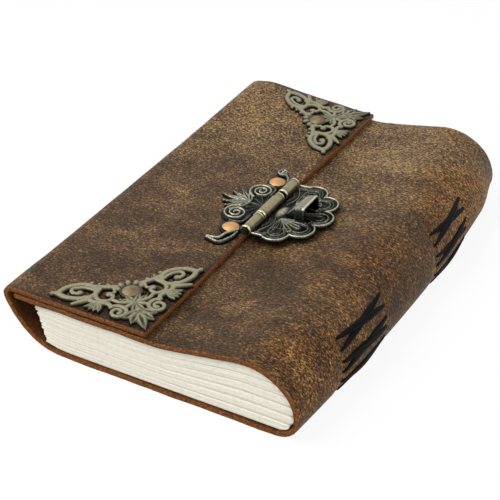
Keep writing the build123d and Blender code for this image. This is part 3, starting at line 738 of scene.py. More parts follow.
@dataclass
class Hide:
    """The hide: one sheet of leather, made as flap and wrap, back, and spine and front cover."""

    book: BookLines
    path: HidePath
    lacing: Lacing
    step: float = 1.5 * MM
    lowest: float = 0.02 * MM
    far_rise: float = 1.3 * MM
    rise_from: float = 10.0 * MM
    fold_zone: tuple[float, ...] = mm(-49, -31)
    fold_low: float = 15.0 * MM
    far_slant: float = 4.0 * MM
    slant_from: float = 30.0 * MM
    slant_full: float = -45.0 * MM
    slant_height: tuple[float, ...] = mm(3, 16)
    rounding: float = 0.6
    rounding_from: float = -50.0 * MM
    pared: float = 0.3
    pared_in: tuple[float, ...] = mm(2, 7)
    pared_end: float = 10.0 * MM
    loose: tuple[float, ...] = mm(3, 12)
    wave: float = 0.28 * MM
    wave_run: tuple[float, ...] = mm(30, 34)
    ripple: float = 0.1 * MM
    ripple_run: tuple[float, ...] = mm(9, 11)
    dimple: float = 0.55 * MM
    dimple_reach: float = 1.7 * MM
    dimple_end: float = 6.0 * MM
    parted: float = 0.3 * MM
    parted_ends: float = 30.0 * MM
    parted_edge: tuple[float, ...] = mm(50, 25)
    rag_depth: float = 5.0 * MM
    rag: float = 0.28 * MM
    rag_run: float = 11.0 * MM
    fray: float = 0.14 * MM
    fray_run: float = 2.8 * MM
    hollow: float = 1.6 * MM
    trimmed: float = 0.1 * MM
    skew: float = 0.6 * MM
    cut_reach: float = 26.0 * MM
    cut_face: tuple[float, ...] = mm(0.05, 0.35)
    outer_insets: tuple[float, ...] = mm(0.0, 0.04, 0.16, 0.45)
    outer_heights: tuple[float, ...] = (0.78, 0.92, 0.985, 1.0)
    inner_insets: tuple[float, ...] = mm(0.0, 0.1, 0.4, 1.0)
    inner_heights: tuple[float, ...] = (0.6, 0.85, 0.97, 1.0)

    def lanes(self, low: float, high: float, free: tuple[bool, bool], outer: bool) -> tuple[np.ndarray, np.ndarray]:
        """Lines across the sheet, closer together where a cut edge is rounded.

        Args:
            low: where the sheet begins.
            high: where it ends.
            free: whether its beginning and its end are cut edges.
            outer: whether the lines are for the grain side.

        Returns:
            Their places, and how much of the half thickness the leather has there.
        """
        inset = np.array(self.outer_insets if outer else self.inner_insets)
        height = np.array(self.outer_heights if outer else self.inner_heights)
        count = max(2, round((high - low) / self.step))
        inner = np.linspace(low + inset[-1], high - inset[-1], count)[1:-1]
        first, first_height = (low + inset, height) if free[0] else ([low], [1.0])
        last, last_height = (high - inset[::-1], height[::-1]) if free[1] else ([high], [1.0])
        return (np.concatenate([first, inner, last]),
                np.concatenate([first_height, np.ones(len(inner)), last_height]))

    def settle(self, places: np.ndarray, outward: np.ndarray, along: float, y: float) -> np.ndarray:
        """How the leather departs from its drawn line at a place: soft waves, and pulled in at the holes.

        Args:
            places: X and Z of the place.
            outward: the direction out of the book there.
            along: distance along the section.
            y: place along the book.

        Returns:
            The shift in X and Z.
        """
        book = self.book
        x, z = places
        wave = (self.wave * wander(along / self.wave_run[0], y / self.wave_run[1])
                + self.ripple * wander(along / self.ripple_run[0], y / self.ripple_run[1], 4.0))
        shift = outward * (wave * ease(*self.loose, z))
        if x > book.x_shoulder:
            for height, column in self.lacing.holes():
                if max(abs(y - column), abs(z - height)) < self.dimple_end:
                    reach = math.hypot(y - column, z - height) / self.dimple_reach
                    shift = shift - outward * (self.dimple * math.exp(-reach * reach))
        if along < self.cut_reach:
            part = y / book.half
            trim = self.skew * part - self.hollow * math.cos(math.pi / 2 * part) ** 4 - self.trimmed
            shift = shift + np.array([trim * (1 - along / self.cut_reach) ** 2, 0.0])
        if along < self.path.marks[1]:
            parted = ease(book.half - self.parted_ends, book.half, abs(y)) * ease(*self.parted_edge, along)
            shift = shift + np.array([0.0, self.parted * parted])
        if x < book.x_wrap and z > 0:
            near_fold = 1.0 - ease(*self.fold_zone, x) if z > self.fold_low else 1.0
            rise = self.far_rise * ease(self.rise_from, book.half, y) * near_fold
            shift = shift + np.array([0.0, rise * min(1.0, z / book.flap_top) ** 1.5])
        return shift

    def sheet(self, name: str, start: float, stop: float, free: tuple[bool, bool],
              material: bpy.types.Material) -> bpy.types.Object:
        """Make a stretch of the hide with rounded cut edges.

        Args:
            name: the piece's name.
            start: where it begins along the section.
            stop: where it ends.
            free: whether its beginning and its end are cut edges.
            material: the leather.

        Returns:
            The piece.
        """
        book, wear = self.book, HideWear(self.book)
        mid, fold = book.leather / 2, self.path.marks[1]
        points, flat, layers, faces, rings = [], [], [], [], []
        for outer in (True, False):
            sign = 1.0 if outer else -1.0
            along, along_height = self.lanes(start, stop, free, outer)
            across, across_height = self.lanes(-book.half, book.half, (True, True), outer)
            faces += woven(len(points), len(along), len(across))
            rings.append(self.ring(len(along), len(across), len(points)))
            places, outward = self.path.at(along)
            for i, s in enumerate(along):
                near, far = (self.rag * wander(s / self.rag_run, seed)
                             + self.fray * wander(s / self.fray_run, seed + 2.0) for seed in (7.0, 17.0))
                for j, y in enumerate(across):
                    limit = min(min(s - start if free[0] else 1.0, stop - s if free[1] else 1.0),
                                book.half - abs(y))
                    height = min(along_height[i], across_height[j])
                    if not outer:
                        # The flap is pared behind its fittings, so that the brads' legs lie on the flesh side.
                        height -= self.pared * ease(*self.pared_in, limit) * ease(fold, fold - self.pared_end, s)
                    shift = self.settle(places[i], outward[i], s, y)
                    place = places[i] + outward[i] * (sign * mid * height) + shift
                    edge = ease(book.half - self.rag_depth, book.half, abs(y))
                    slip = (near if y < 0 else far) * edge + self.slant(places[i], s, y)
                    points.append((place[0] + book.swell(place[0], y), y + slip, max(place[1], self.lowest)))
                    flat.append((s, y, sign * mid * height))
                    layers.append((1.0 - ease(*self.cut_face, limit), 0.0 if outer else 1.0,
                                   wear.rubbed(places[i], s, y), wear.paled_and_shaded(places[i], y)))
        top, under = rings
        faces += [(a, b, d, c) for a, b, c, d in zip(top, top[1:] + top[:1], under, under[1:] + under[:1])]
        # The last layer holds bleach and the painted shade under the corner plates.
        named = dict(zip(("raw", "flesh", "worn", "pale_and_shade"), np.array(layers).T))
        return mesh_piece(name, np.array(points), faces, material, flat=np.array(flat), **named)

    def slant(self, place: np.ndarray, along: float, y: float) -> float:
        """How far the flap runs on at the far end, where it is cut longer towards the fold and rounded off there."""
        if along > self.path.marks[3]:
            return 0.0
        x, z = place
        longer = ease(self.book.x_edge, self.slant_full, x)
        longer -= self.rounding * ease(self.rounding_from, self.book.x_fold, x)
        return self.far_slant * longer * ease(self.slant_from, self.book.half, y) * ease(*self.slant_height, z)

    @staticmethod
    def ring(rows: int, columns: int, first: int) -> list[int]:
        """Numbers of the points round the border of a side, in order."""
        near = [first + i * columns for i in range(rows)]
        stop = [first + (rows - 1) * columns + j for j in range(1, columns)]
        far = [first + i * columns + columns - 1 for i in range(rows - 2, -1, -1)]
        start = [first + j for j in range(columns - 2, 0, -1)]
        return near + stop + far + start

    def build(self, finishes: Finishes) -> None:
        """Make the three stretches of the hide; the back is attached to the book.

        Args:
            finishes: the diary's materials.
        """
        marks = self.path.marks
        flap = self.sheet("hide_flap", marks[0], marks[3], (True, False), finishes.hide)
        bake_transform(flap)
        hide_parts("flap", "fore_edge_wrap")
        back = self.sheet("hide_back", marks[3], marks[4], (False, False), finishes.hide)
        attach(back, "book")
        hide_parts("back_cover")
        cover = self.sheet("hide_cover", marks[4], marks[-1], (False, True), finishes.hide)
        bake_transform(cover)
        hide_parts("spine", "front_cover", "front_cover_tongue")
        for piece in (flap, back, cover):
            LOG.info("hide: %s, %d faces", piece.name, len(piece.data.polygons))


@dataclass
class TextBlock:
    """The pages: gatherings of nested folded sheets with torn edges."""

    book: BookLines
    path: HidePath
    gatherings: int = 6
    sheets: int = 5
    page_gap: float = 0.3 * MM
    fold_gap: float = 0.4 * MM
    fore_low: float = 16.4 * MM
    fore_step: float = 0.7 * MM
    setback: float = 1.0 * MM
    fullness: float = 0.985
    open_gap: float = 0.2
    closed_gap: float = 0.02
    nesting: float = 0.35
    fore_sway: float = 0.4 * MM
    shear: float = 0.18 * MM
    ruffle: float = 0.05 * MM
    tear: float = 0.5 * MM
    tear_run: float = 7.0 * MM
    fray: float = 0.3 * MM
    fray_run: float = 2.1 * MM
    open_from: tuple[float, ...] = mm(-35, 48)
    step: float = 2.0 * MM

    def bottom_at(self, x: float) -> float:
        """Height of the leather under the pages."""
        book, wrap = self.book, self.path.wrap_radius
        if x >= book.x_wrap:
            return book.leather
        return wrap - math.sqrt((wrap - book.leather) ** 2 - (book.x_wrap - x) ** 2)

    def top_at(self, x: float) -> float:
        """Height of the top of the pages."""
        path, book = self.path, self.book
        low = book.cover_top - book.leather - self.page_gap
        high = book.spine_top - book.leather - self.page_gap
        run = path.x_cover - path.x_bend - 2 * path.bend_corner
        return low + (high - low) * float(np.clip((x - path.x_bend - path.bend_corner) / run, 0, 1))

    def line(self, x: float, count: float) -> float:
        """Height of a leaf, counted in gatherings up from the back cover."""
        low = self.bottom_at(x)
        return low + (self.top_at(x) - low) * count / self.gatherings

    def parting(self, x: float) -> float:
        """Share of a gathering's height that is left open round it, which grows towards the spine."""
        return self.closed_gap + self.open_gap * ease(*self.open_from, x)

    def leaf_line(self, x: float, number: int, share: float) -> float:
        """Height of a leaf, by its share of the way up its gathering."""
        return self.line(x, number + 0.5 + (share - 0.5) * (1.0 - self.parting(x)))

    def section(self, number: int, sheet: int) -> tuple[np.ndarray, np.ndarray]:
        """Middle line of a folded sheet and its thickness along it, from lower to upper fore-edge.

        Args:
            number: its gathering, from the bottom.
            sheet: its place in the gathering, from the outside.

        Returns:
            Places in X and Z, and thicknesses.
        """
        low = (sheet + 0.5) / (2 * self.sheets)
        x_fore = (self.book.x_fold + self.fore_low - self.fore_step * number
                  + self.fore_sway * wander(number, sheet, 3.3))
        end = self.path.x_cover
        under_z, over_z = self.leaf_line(end, number, low), self.leaf_line(end, number, 1 - low)
        radius, middle = (over_z - under_z) / 2, (over_z + under_z) / 2
        depth = self.fold_gap + self.nesting * self.page_gap * sheet
        x_under, x_over = self.path.wall_at(under_z) - depth, self.path.wall_at(over_z) - depth
        bend = [(x_under + (x_over - x_under) * (1 - math.cos(a)) / 2 - radius * (1 - math.sin(a)),
                 middle - radius * math.cos(a)) for a in np.linspace(0, math.pi, 9)]
        under = [(x, self.leaf_line(min(x, end), number, low)) for x in np.linspace(x_fore, bend[0][0], 20)[:-1]]
        over = [(x, self.leaf_line(min(x, end), number, 1 - low)) for x in np.linspace(bend[-1][0], x_fore, 20)[1:]]
        middle_line = np.array(under + bend + over)
        room = np.array([(self.top_at(x) - self.bottom_at(x)) * (1.0 - self.parting(x)) for x, _ in middle_line])
        return middle_line, room / (2 * self.sheets * self.gatherings) * self.fullness

    def gathering(self, number: int, material: bpy.types.Material) -> bpy.types.Object:
        """Make a gathering.

        Args:
            number: its place, from the bottom.
            material: the paper.

        Returns:
            The piece.
        """
        points, faces = [], []
        end = self.book.half - self.setback
        across = np.linspace(-end, end, round(2 * end / self.step))
        for sheet in range(self.sheets):
            line, thick = self.section(number, sheet)
            way = np.gradient(line, axis=0)
            way /= np.linalg.norm(way, axis=1)[:, None]
            side = np.stack([-way[:, 1], way[:, 0]], 1) * (thick / 2)[:, None]
            outline = np.concatenate([line + side, (line - side)[::-1]])
            count, first = len(line), len(points)
            shear = self.shear * wander(1.37 * (number * self.sheets + sheet), 0.5, 8.1)
            trim = [shear + self.ruffle * wander(i * 0.2, number * self.sheets + sheet, 1.7) for i in range(count)]
            for y in across:
                torn = (self.tear * wander(y / self.tear_run, sheet, number)
                        + self.fray * wander(y / self.fray_run, sheet, number + 9))
                rim = abs(y) / end
                for i in range(2 * count):
                    station = i if i < count else 2 * count - 1 - i
                    x, z = outline[i]
                    if station in (0, count - 1):
                        x += torn
                    points.append((x + self.book.swell(x, y),
                                   y + math.copysign(trim[station], y) * ease(0.97, 1.0, rim), z))
            ring = 2 * count
            faces += woven(first, len(across), ring, (False, True))
            for row in (first, first + (len(across) - 1) * ring):
                faces += [(row + i, row + i + 1, row + ring - 2 - i, row + ring - 1 - i) for i in range(count - 1)]
        return mesh_piece(f"pages_{number + 1}", np.array(points), faces, material)

    def build(self, finishes: Finishes) -> None:
        """Make every gathering; all but the top one are attached to the book.

        Args:
            finishes: the diary's materials.
        """
        for number in range(self.gatherings):
            piece = self.gathering(number, finishes.paper)
            if number < self.gatherings - 1:
                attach(piece, "book")
            else:
                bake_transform(piece)
            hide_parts(f"gathering_{number + 1}")
            LOG.info("text block: %s, %d faces", piece.name, len(piece.data.polygons))


class Relief:
    """A casting drawn from above in millimetres: strokes, leaves and domes that run into one body."""

    OUTSIDE = -9.0
    RIM_SHARE = 0.85
    UNDER_RUB = 0.6

    def __init__(self, low: tuple[float, float], high: tuple[float, float], pitch: float, edge: float,
                 flat: float = 2.0) -> None:
        """Start an empty casting.

        Args:
            low: its lowest corner.
            high: its highest corner.
            pitch: the fineness of its surface.
            edge: its height at its rim.
            flat: how flat its strokes are across, from 1 for a keen ridge.
        """
        self.pitch, self.edge, self.flat = pitch, edge, flat
        xs = np.arange(low[0], high[0] + pitch, pitch)
        ys = np.arange(low[1], high[1] + pitch, pitch)
        self.x, self.y = np.meshgrid(xs, ys, indexing="ij")
        self.inside = np.full(self.x.shape, self.OUTSIDE)
        self.top = np.full(self.x.shape, edge)

    def lay(self, depth: np.ndarray, height: np.ndarray) -> None:
        """Fuse a form into the casting, by its depth inside its outline and its height."""
        self.inside = np.maximum(self.inside, depth)
        self.top = np.where(depth > 0, np.maximum(self.top, height), self.top)

    def stroke(self, points: np.ndarray, widths: tuple[float, float], rise: float) -> None:
        """Lay a rounded band along a line.

        Args:
            points: the line.
            widths: half widths at its start and its end.
            rise: its height above the rim.
        """
        points = np.asarray(points, float)
        run = np.concatenate([[0.0], np.cumsum(np.linalg.norm(np.diff(points, axis=0), axis=1))])
        depth = np.full(self.x.shape, self.OUTSIDE)
        full = np.ones(self.x.shape)
        for (a, b), begin, length in zip(zip(points[:-1], points[1:]), run[:-1], np.diff(run)):
            way = (b - a) / max(length, 1e-9)
            t = np.clip((self.x - a[0]) * way[0] + (self.y - a[1]) * way[1], 0, length)
            width = widths[0] + (widths[1] - widths[0]) * (begin + t) / run[-1]
            here = width - np.hypot(self.x - a[0] - t * way[0], self.y - a[1] - t * way[1])
            full = np.where(here > depth, width, full)
            depth = np.maximum(depth, here)
        part = np.clip(depth / full, 0, 1)
        self.lay(depth, self.edge + rise * (1 - (1 - part) ** self.flat))

    def aligned(self, place: Sequence[float], turn: float) -> tuple[np.ndarray, np.ndarray]:
        """How far the grid lies from a place, along and across a direction in degrees."""
        c, s = math.cos(math.radians(turn)), math.sin(math.radians(turn))
        x, y = self.x - place[0], self.y - place[1]
        return x * c + y * s, y * c - x * s

    def dome(self, place: Sequence[float], half: tuple[float, float], rise: float, turn: float = 0.0) -> None:
        """Lay an oval dome.

        Args:
            place: its middle.
            half: its half length and half width.
            rise: its height above the rim.
            turn: its turn in degrees.
        """
        u, v = self.aligned(place, turn)
        part = np.hypot(u / half[0], v / half[1])
        self.lay((1 - part) * min(half), self.edge + rise * np.sqrt(np.clip(1 - part**2, 0, 1)))

    def leaf(self, root: Sequence[float], turn: float, length: float, width: float, rise: float,
             vein: float = 0.35) -> None:
        """Lay a pointed leaf with a grooved vein.

        Args:
            root: where it grows from.
            turn: its direction in degrees.
            length: its length.
            width: its greatest half width.
            rise: its height above the rim.
            vein: the depth of its vein.
        """
        u, v = self.aligned(root, turn)
        u = u / length
        on = (u > 0) & (u < 1)
        half = np.where(on, width * np.sin(np.pi * np.clip(u, 0, 1) ** 0.8), 0.0) + 1e-6
        depth = np.where(on, half - np.abs(v), self.OUTSIDE)
        part = np.clip(depth / half, 0, 1)
        groove = vein * np.exp(-((v / (0.22 * width)) ** 2)) * np.clip(half / width, 0, 1)
        self.lay(depth, self.edge + rise * (1 - (1 - part) ** self.flat) - groove)

    def ridge(self, depth: float, half: float, rise: float) -> None:
        """Raise a band that follows the casting's outline.

        Args:
            depth: how far inside the outline its crest runs.
            half: its half width.
            rise: its height above the rim.
        """
        part = np.clip(1 - np.abs(self.inside - depth) / half, 0, 1)
        self.top = np.maximum(self.top, self.edge + rise * part * (2 - part))

    def sink(self, floor: float, keep: np.ndarray) -> None:
        """Lower everything but what is kept to a floor height."""
        self.top = np.where(keep, self.top, np.minimum(self.top, floor))

    def build(self, name: str, place: Matrix, material: bpy.types.Material, full: float) -> bpy.types.Object:
        """Turn the casting into a closed mesh.

        Args:
            name: the piece's name.
            place: what brings its millimetres to the book.
            material: its finish.
            full: the height that counts as fully rubbed.

        Returns:
            The piece.
        """
        rows, columns = self.inside.shape
        solid = self.inside > 0
        number = np.full((rows, columns), -1)
        number[solid] = np.arange(solid.sum())
        points = list(zip(self.x[solid], self.y[solid], self.top[solid]))
        crossings: dict[tuple[int, int, int, int], int] = {}

        def crossing(a: tuple[int, int], b: tuple[int, int]) -> int:
            """Number of the rim's point between two neighbouring grid places."""
            key = (*min(a, b), *max(a, b))
            if key not in crossings:
                fa, fb = self.inside[a], self.inside[b]
                t = fa / (fa - fb)
                crossings[key] = len(points)
                points.append((self.x[a] + (self.x[b] - self.x[a]) * t, self.y[a] + (self.y[b] - self.y[a]) * t,
                               self.edge * self.RIM_SHARE))
            return crossings[key]

        quads = solid[:-1, :-1] & solid[1:, :-1] & solid[1:, 1:] & solid[:-1, 1:]
        some = solid[:-1, :-1] | solid[1:, :-1] | solid[1:, 1:] | solid[:-1, 1:]
        tops = [(number[i, j], number[i + 1, j], number[i + 1, j + 1], number[i, j + 1])
                for i, j in zip(*np.nonzero(quads))]
        walls = []
        for i, j in zip(*np.nonzero(some & ~quads)):
            corners = [(i, j), (i + 1, j), (i + 1, j + 1), (i, j + 1)]
            face, leaving = [], []
            for a, b in zip(corners, corners[1:] + corners[:1]):
                if solid[a]:
                    face.append(number[a])
                if solid[a] != solid[b]:
                    face.append(crossing(a, b))
                    leaving.append((bool(solid[a]), face[-1]))
            tops.append(tuple(face))
            if not leaving[0][0]:
                leaving = leaving[1:] + leaving[:1]
            walls += [(leaving[k][1], leaving[k + 1][1]) for k in range(0, len(leaving), 2)]
        count = len(points)
        top = np.array(points)
        under = top * np.array([1, 1, 0])
        faces = [tuple(int(p) for p in face) for face in tops]
        faces += [tuple(int(p) + count for p in reversed(face)) for face in tops]
        faces += [(a + count, b + count, b, a) for a, b in walls]
        rub = np.concatenate([np.clip(top[:, 2] / full, 0, 1), np.full(count, self.UNDER_RUB)])
        return mesh_piece(name, carried(np.concatenate([top, under]), place), faces, material, height=rub)


def carried(points: np.ndarray, place: Matrix) -> np.ndarray:
    """Bring points drawn in millimetres to their place on the book, in metres."""
    return points * MM @ np.array(place.to_3x3()).T + np.array(place.translation)


def curl(centre: tuple[float, float], radii: tuple[float, float], start: float, turns: float,
         steps: int = 40) -> np.ndarray:
    """Points of a spiral that winds in.

    Args:
        centre: its middle.
        radii: its radius at the outside and at the inside.
        start: its outer end's direction in degrees.
        turns: how many turns it makes, negative for clockwise.
        steps: how many points it has.

    Returns:
        The points.
    """
    part = np.linspace(0, 1, steps)
    angle = math.radians(start) + math.tau * turns * part
    radius = radii[0] + (radii[1] - radii[0]) * part**0.85
    return np.stack([centre[0] + radius * np.cos(angle), centre[1] + radius * np.sin(angle)], 1)


def bow(*points: tuple[float, float], steps: int = 24) -> np.ndarray:
    """Points of a smooth curve through a few places."""
    given = np.array(points, float)
    padded = np.concatenate([2 * given[:1] - given[1:2], given, 2 * given[-1:] - given[-2:-1]])
    made = []
    for a, b, c, d in zip(padded, padded[1:], padded[2:], padded[3:]):
        t = np.linspace(0, 1, steps // (len(given) - 1) + 1)[:-1, None]
        made.append(0.5 * (2 * b + (c - a) * t + (2 * a - 5 * b + 4 * c - d) * t**2 + (3 * b - a - 3 * c + d) * t**3))
    return np.concatenate(made + [given[-1:]])


@dataclass
class CornerPlates:
    """Pierced corner plates on the flap: loops, scrolls, leaf fans, a flower and a palmette."""

    book: BookLines
    leg: float = 41.0
    inset: float = 0.4
    seat: float = 17.22
    plate: float = 1.2
    edge: float = 1.05
    rise: float = 0.65
    splay: float = 0.13
    pitch: float = 0.22

    def draw(self) -> Relief:
        """Draw the plate from its right angle, with one leg along each axis."""
        cast = Relief((-1.5, -1.5), (self.leg + 2, self.leg + 2), self.pitch, self.edge, flat=3.2)
        for step in (1, -1):
            self.leg_scrolls(cast, lambda line: np.asarray(line, float)[..., ::step])
        for turn in (-8, 98, 20, 70, 205, 245):
            cast.leaf((11.6, 11.6), turn, 6.6, 1.5, self.rise, vein=0.5)
        for turn, length in ((225, 11.7), (194, 8.2), (256, 8.2), (163, 7.0), (287, 7.0)):
            cast.leaf((8.6, 8.6), turn, length, 2.2, self.rise, vein=0.75)
        cast.dome((8.8, 8.8), (1.3, 1.3), self.rise)
        for turn in (-18, 13, 45, 77, 108):
            angle = math.radians(turn)
            cast.dome((self.seat + 5.1 * math.cos(angle), self.seat + 5.1 * math.sin(angle)), (1.7, 1.15),
                      self.rise, turn)
        part = np.hypot(cast.x - self.seat, cast.y - self.seat)
        cast.lay(4.2 - part, np.where(part < 4.2, self.plate, 0.0))
        cast.sink(self.plate, part > 3.6)
        return cast

    def leg_scrolls(self, cast: Relief, turned: Callable[[Sequence], np.ndarray]) -> None:
        """Draw the scrolls of one leg.

        Args:
            cast: the plate.
            turned: puts points that run along the leg and in from its edge on that leg.
        """
        rise = self.rise
        flip = turned((1.0, 0.0))[1] > 0.5
        loop = bow((38.8, 3.4), (37.6, 8.4), (33.2, 12.4), (28.4, 12.0), (26.9, 8.4), (30.0, 4.6), (35.0, 2.9),
                   (38.8, 3.4), steps=70)
        spiral = curl((14.2, 4.2), (3.9, 0.9), 20, 1.5)
        for line, widths in (
                (loop, (1.3, 1.3)), (spiral, (1.1, 0.8)),
                (bow((28.2, 11.2), (32.4, 10.6), (35.4, 8.2), (34.4, 6.2), (32.2, 6.6)), (0.8, 1.0)),
                (bow((39.0, 3.2), (40.3, 2.6)), (0.8, 0.7)),
                (bow((30.0, 12.9), (26.6, 14.4), (22.8, 16.6)), (1.15, 1.2)),
                (bow((27.4, 13.4), (26.4, 8.8), (23.4, 6.9), (20.4, 8.6), (20.8, 11.4), (22.8, 11.4)), (1.2, 0.9)),
                (bow((29.0, 6.0), (24.6, 5.2), (20.0, 6.6), (17.6, 5.6)), (1.25, 1.1)),
                (bow((27.0, 5.8), (28.6, 3.4), (30.6, 0.6)), (1.6, 0.7)),
                (bow((13.4, 8.0), (12.6, 10.4)), (1.0, 1.0)),
                (bow((20.2, 9.4), (16.4, 9.4), (13.2, 11.6)), (0.95, 0.95)),
                (bow((23.6, 15.8), (21.6, 13.6), (22.4, 12.0)), (0.8, 0.7))):
            cast.stroke(turned(line), widths, rise)
        for place, size in (((40.3, 2.6), 1.1), ((31.6, 14.2), 1.0), ((26.0, 16.1), 0.95), ((28.9, 15.0), 0.75),
                            ((32.0, 7.4), 1.45), ((22.6, 11.6), 1.45), (spiral[-1], 1.15)):
            cast.dome(turned(place), (size, size), rise)
        for lean, length in ((-50, 6.2), (-72, 5.7), (-94, 5.5), (-116, 5.6)):
            cast.leaf(turned((22.4, 5.8)), 90 - lean if flip else lean, length, 1.2, rise, vein=0.3)

    def build(self, finishes: Finishes) -> None:
        """Make both plates.

        Args:
            finishes: the diary's materials.
        """
        book = self.book
        cast = self.draw()
        for end in End:
            place = Matrix(((-1, 0, 0, book.x_edge - self.inset * MM),
                            (0, -end.value, 0, end.value * (book.half - self.inset * MM)),
                            (0, 0, 1, book.flap_top), (0, 0, 0, 1)))
            piece = cast.build(f"filigree_{end.label}", place, finishes.corner, self.edge + self.rise)
            if end is End.FAR:
                for vertex in piece.data.vertices:
                    past_brad = book.x_edge - self.seat * MM - vertex.co.x
                    vertex.co.y += self.splay * max(0.0, past_brad)
            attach(piece, "flap")
            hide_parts(f"corner_{end.label}")
            LOG.info("corner plates: %s, %d faces", piece.name, len(piece.data.polygons))


@dataclass
class Clasp:
    """The clasp: a scrolled plate on the flap, three knuckles on a pin, and a scalloped leaf with a hood."""

    book: BookLines
    barrel: float = 2.0
    barrel_length: float = 40.0
    knuckle: float = 16.6
    plate: float = 1.2
    brad_back: float = 7.0
    brad_side: float = 18.4
    pitch: float = 0.2
    leaf_tilt: float = math.radians(3.896)
    shell_start: float = 7.0
    shell_reach: float = 13.5
    shell_side: float = 16.0
    lobes: int = 5
    lobe_pitch: float = 38.0
    lobe_radius: float = 6.0
    hood_back: float = 7.9
    hood_mouth: float = 17.4
    hood_width: float = 12.3
    hood_height: float = 6.3
    around: int = 40
    plate_full: float = 2.0
    leaf_full: float = 1.9
    knuckle_gap: float = 0.3
    worn_middle: float = 0.6
    worn_outer: float = 0.5

    def axis(self) -> Vector:
        """Middle of the hinge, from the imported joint."""
        joint = next(joint for joint in frame["joints"] if joint["name"] == "clasp_hinge")
        return Vector(joint["pos_m"])

    def draw_plate(self) -> Relief:
        """Draw the flap's plate, back from the hinge and along it."""
        cast = Relief((2.4, -33), (23, 31), self.pitch, 0.7)
        cast.dome((7.6, 0), (6.4, 9.8), 0.0)
        fan = ((-60, 9.8), (-40, 10.4), (-21, 11.2), (1, 12.8), (22, 11.2), (42, 10.4), (61, 9.6))
        for turn, length in fan:
            cast.leaf((8.8, 0), turn, length, 1.45, 1.25, vein=0.9)
            angle = math.radians(1.25 * turn)
            cast.stroke(np.array([(3.2, 0), (3.2 + 6.2 * math.cos(angle), 7.2 * math.sin(angle))]), (0.3, 0.42), 0.75)
        for centre, side in (((10.2, -9.0), -1), ((8.9, 9.2), 1)):
            cast.dome(centre, (5.7, 5.7), 0.0)
            cast.stroke(curl(centre, (5.1, 0.7), -80 * side, 2.3 * side, steps=80), (0.62, 0.5), 1.15)
            cast.stroke(curl(centre, (4.2, 1.0), -80 * side, 1.9 * side, steps=80), (0.3, 0.3), 0.55)
            cast.dome((self.brad_back, side * self.brad_side), (4.3, 4.3), 0.3)
            cast.stroke(bow((4.4, side * 8.6), (5.2, side * 13.4), (9.6, side * 14.8)), (0.8, 0.6), 0.8)
        cast.stroke(bow((3.4, -19.0), (6.0, -23.1), (7.2, -27.3), (11.1, -28.5)), (0.8, 0.7), 1.2)
        cast.stroke(bow((2.9, -20.8), (3.5, -25.1), (6.0, -29.6), (11.1, -28.7)), (0.75, 0.9), 1.0)
        cast.dome((11.0, -28.6), (1.2, 1.2), 1.2)
        cast.stroke(bow((3.4, 19.6), (4.4, 22.4), (6.4, 24.6)), (1.0, 0.8), 0.9)
        cast.stroke(curl((8.4, 25.9), (2.2, 1.1), 200, 1.3), (0.75, 0.6), 1.0)
        cast.dome((8.4, 25.9), (0.9, 0.9), 1.2)
        seat = np.minimum(np.hypot(cast.x - self.brad_back, cast.y - self.brad_side),
                          np.hypot(cast.x - self.brad_back, cast.y + self.brad_side))
        cast.sink(self.plate, seat > 3.5)
        cast.stroke(np.array([(3.0, -self.knuckle / 2 + 0.6), (3.0, self.knuckle / 2 - 0.6)]), (0.6, 0.6), 1.2)
        return cast

    def draw_leaf(self) -> Relief:
        """Draw the shell, out from the hinge and along it, with rim, petals and boss."""
        cast = Relief((2.3, -25), (29, 25), self.pitch, 0.7)
        cast.dome((9.0, 0), (self.shell_reach - 1, self.shell_side - 1), 0.0)
        for lobe in range(self.lobes):
            turn = self.lobe_pitch * (lobe - (self.lobes - 1) / 2)
            cast.dome(self.on_shell(turn, 1.0), (self.lobe_radius, self.lobe_radius), 0.0)
        strap = np.where(cast.x < self.shell_start, self.barrel_length / 2 - np.abs(cast.y), cast.OUTSIDE)
        cast.lay(strap, np.full(cast.x.shape, cast.edge))
        cast.inside = np.where(cast.x < 2.5, -1.0, cast.inside)
        cast.ridge(0.6, 0.6, 1.05)
        cast.ridge(2.3, 0.45, 0.7)
        for side in (-1, 1):
            root = np.array((7.6, side * 6.0))
            outer = np.array(self.on_shell(side * 2 * self.lobe_pitch, 0.95))
            middle = np.array(self.on_shell(side * self.lobe_pitch, 0.95))
            for wide, rise in ((3.0, 0.85), (1.6, 0.7)):
                cast.stroke(self.petal(root, outer, wide), (0.36, 0.36), rise)
            cast.stroke(self.petal(root, middle, 3.1), (0.36, 0.36), 0.85)
            for spread in (-24, 0, 24):
                turn = Matrix.Rotation(math.radians(spread), 2)
                tip = root + 0.9 * np.array(turn @ Vector(middle - root))
                cast.stroke(self.petal(root, tip, 0.85), (0.32, 0.32), 0.95)
            cast.stroke(bow(root, (8.9, side * 12.0), (7.6, side * 16.4), (4.4, side * 18.6)), (0.3, 0.45), 0.7)
            cast.stroke(bow((4.6, side * 4.4), (6.2, side * 9.0), (5.4, side * 13.0), (3.6, side * 16.6)),
                        (0.3, 0.5), 0.8)
            cast.stroke(bow((3.4, side * 7.0), (4.4, side * 10.0), (3.4, side * 13.0)), (0.35, 0.35), 0.7)
        cast.stroke(self.petal((13.0, 0), self.on_shell(0, 1.0), 3.4), (0.38, 0.38), 0.85)
        cast.stroke(self.petal((15.0, 0), self.on_shell(0, 1.0), 1.6), (0.34, 0.34), 0.75)
        cast.dome((5.4, -1.2), (2.3, 5.0), 0.95)
        return cast

    def on_shell(self, turn: float, part: float) -> tuple[float, float]:
        """Place on the shell, part of the way out to the rim of lobes."""
        angle = math.radians(turn)
        out, side = self.shell_reach * math.cos(angle), self.shell_side * math.sin(angle)
        return self.shell_start + part * out, part * side

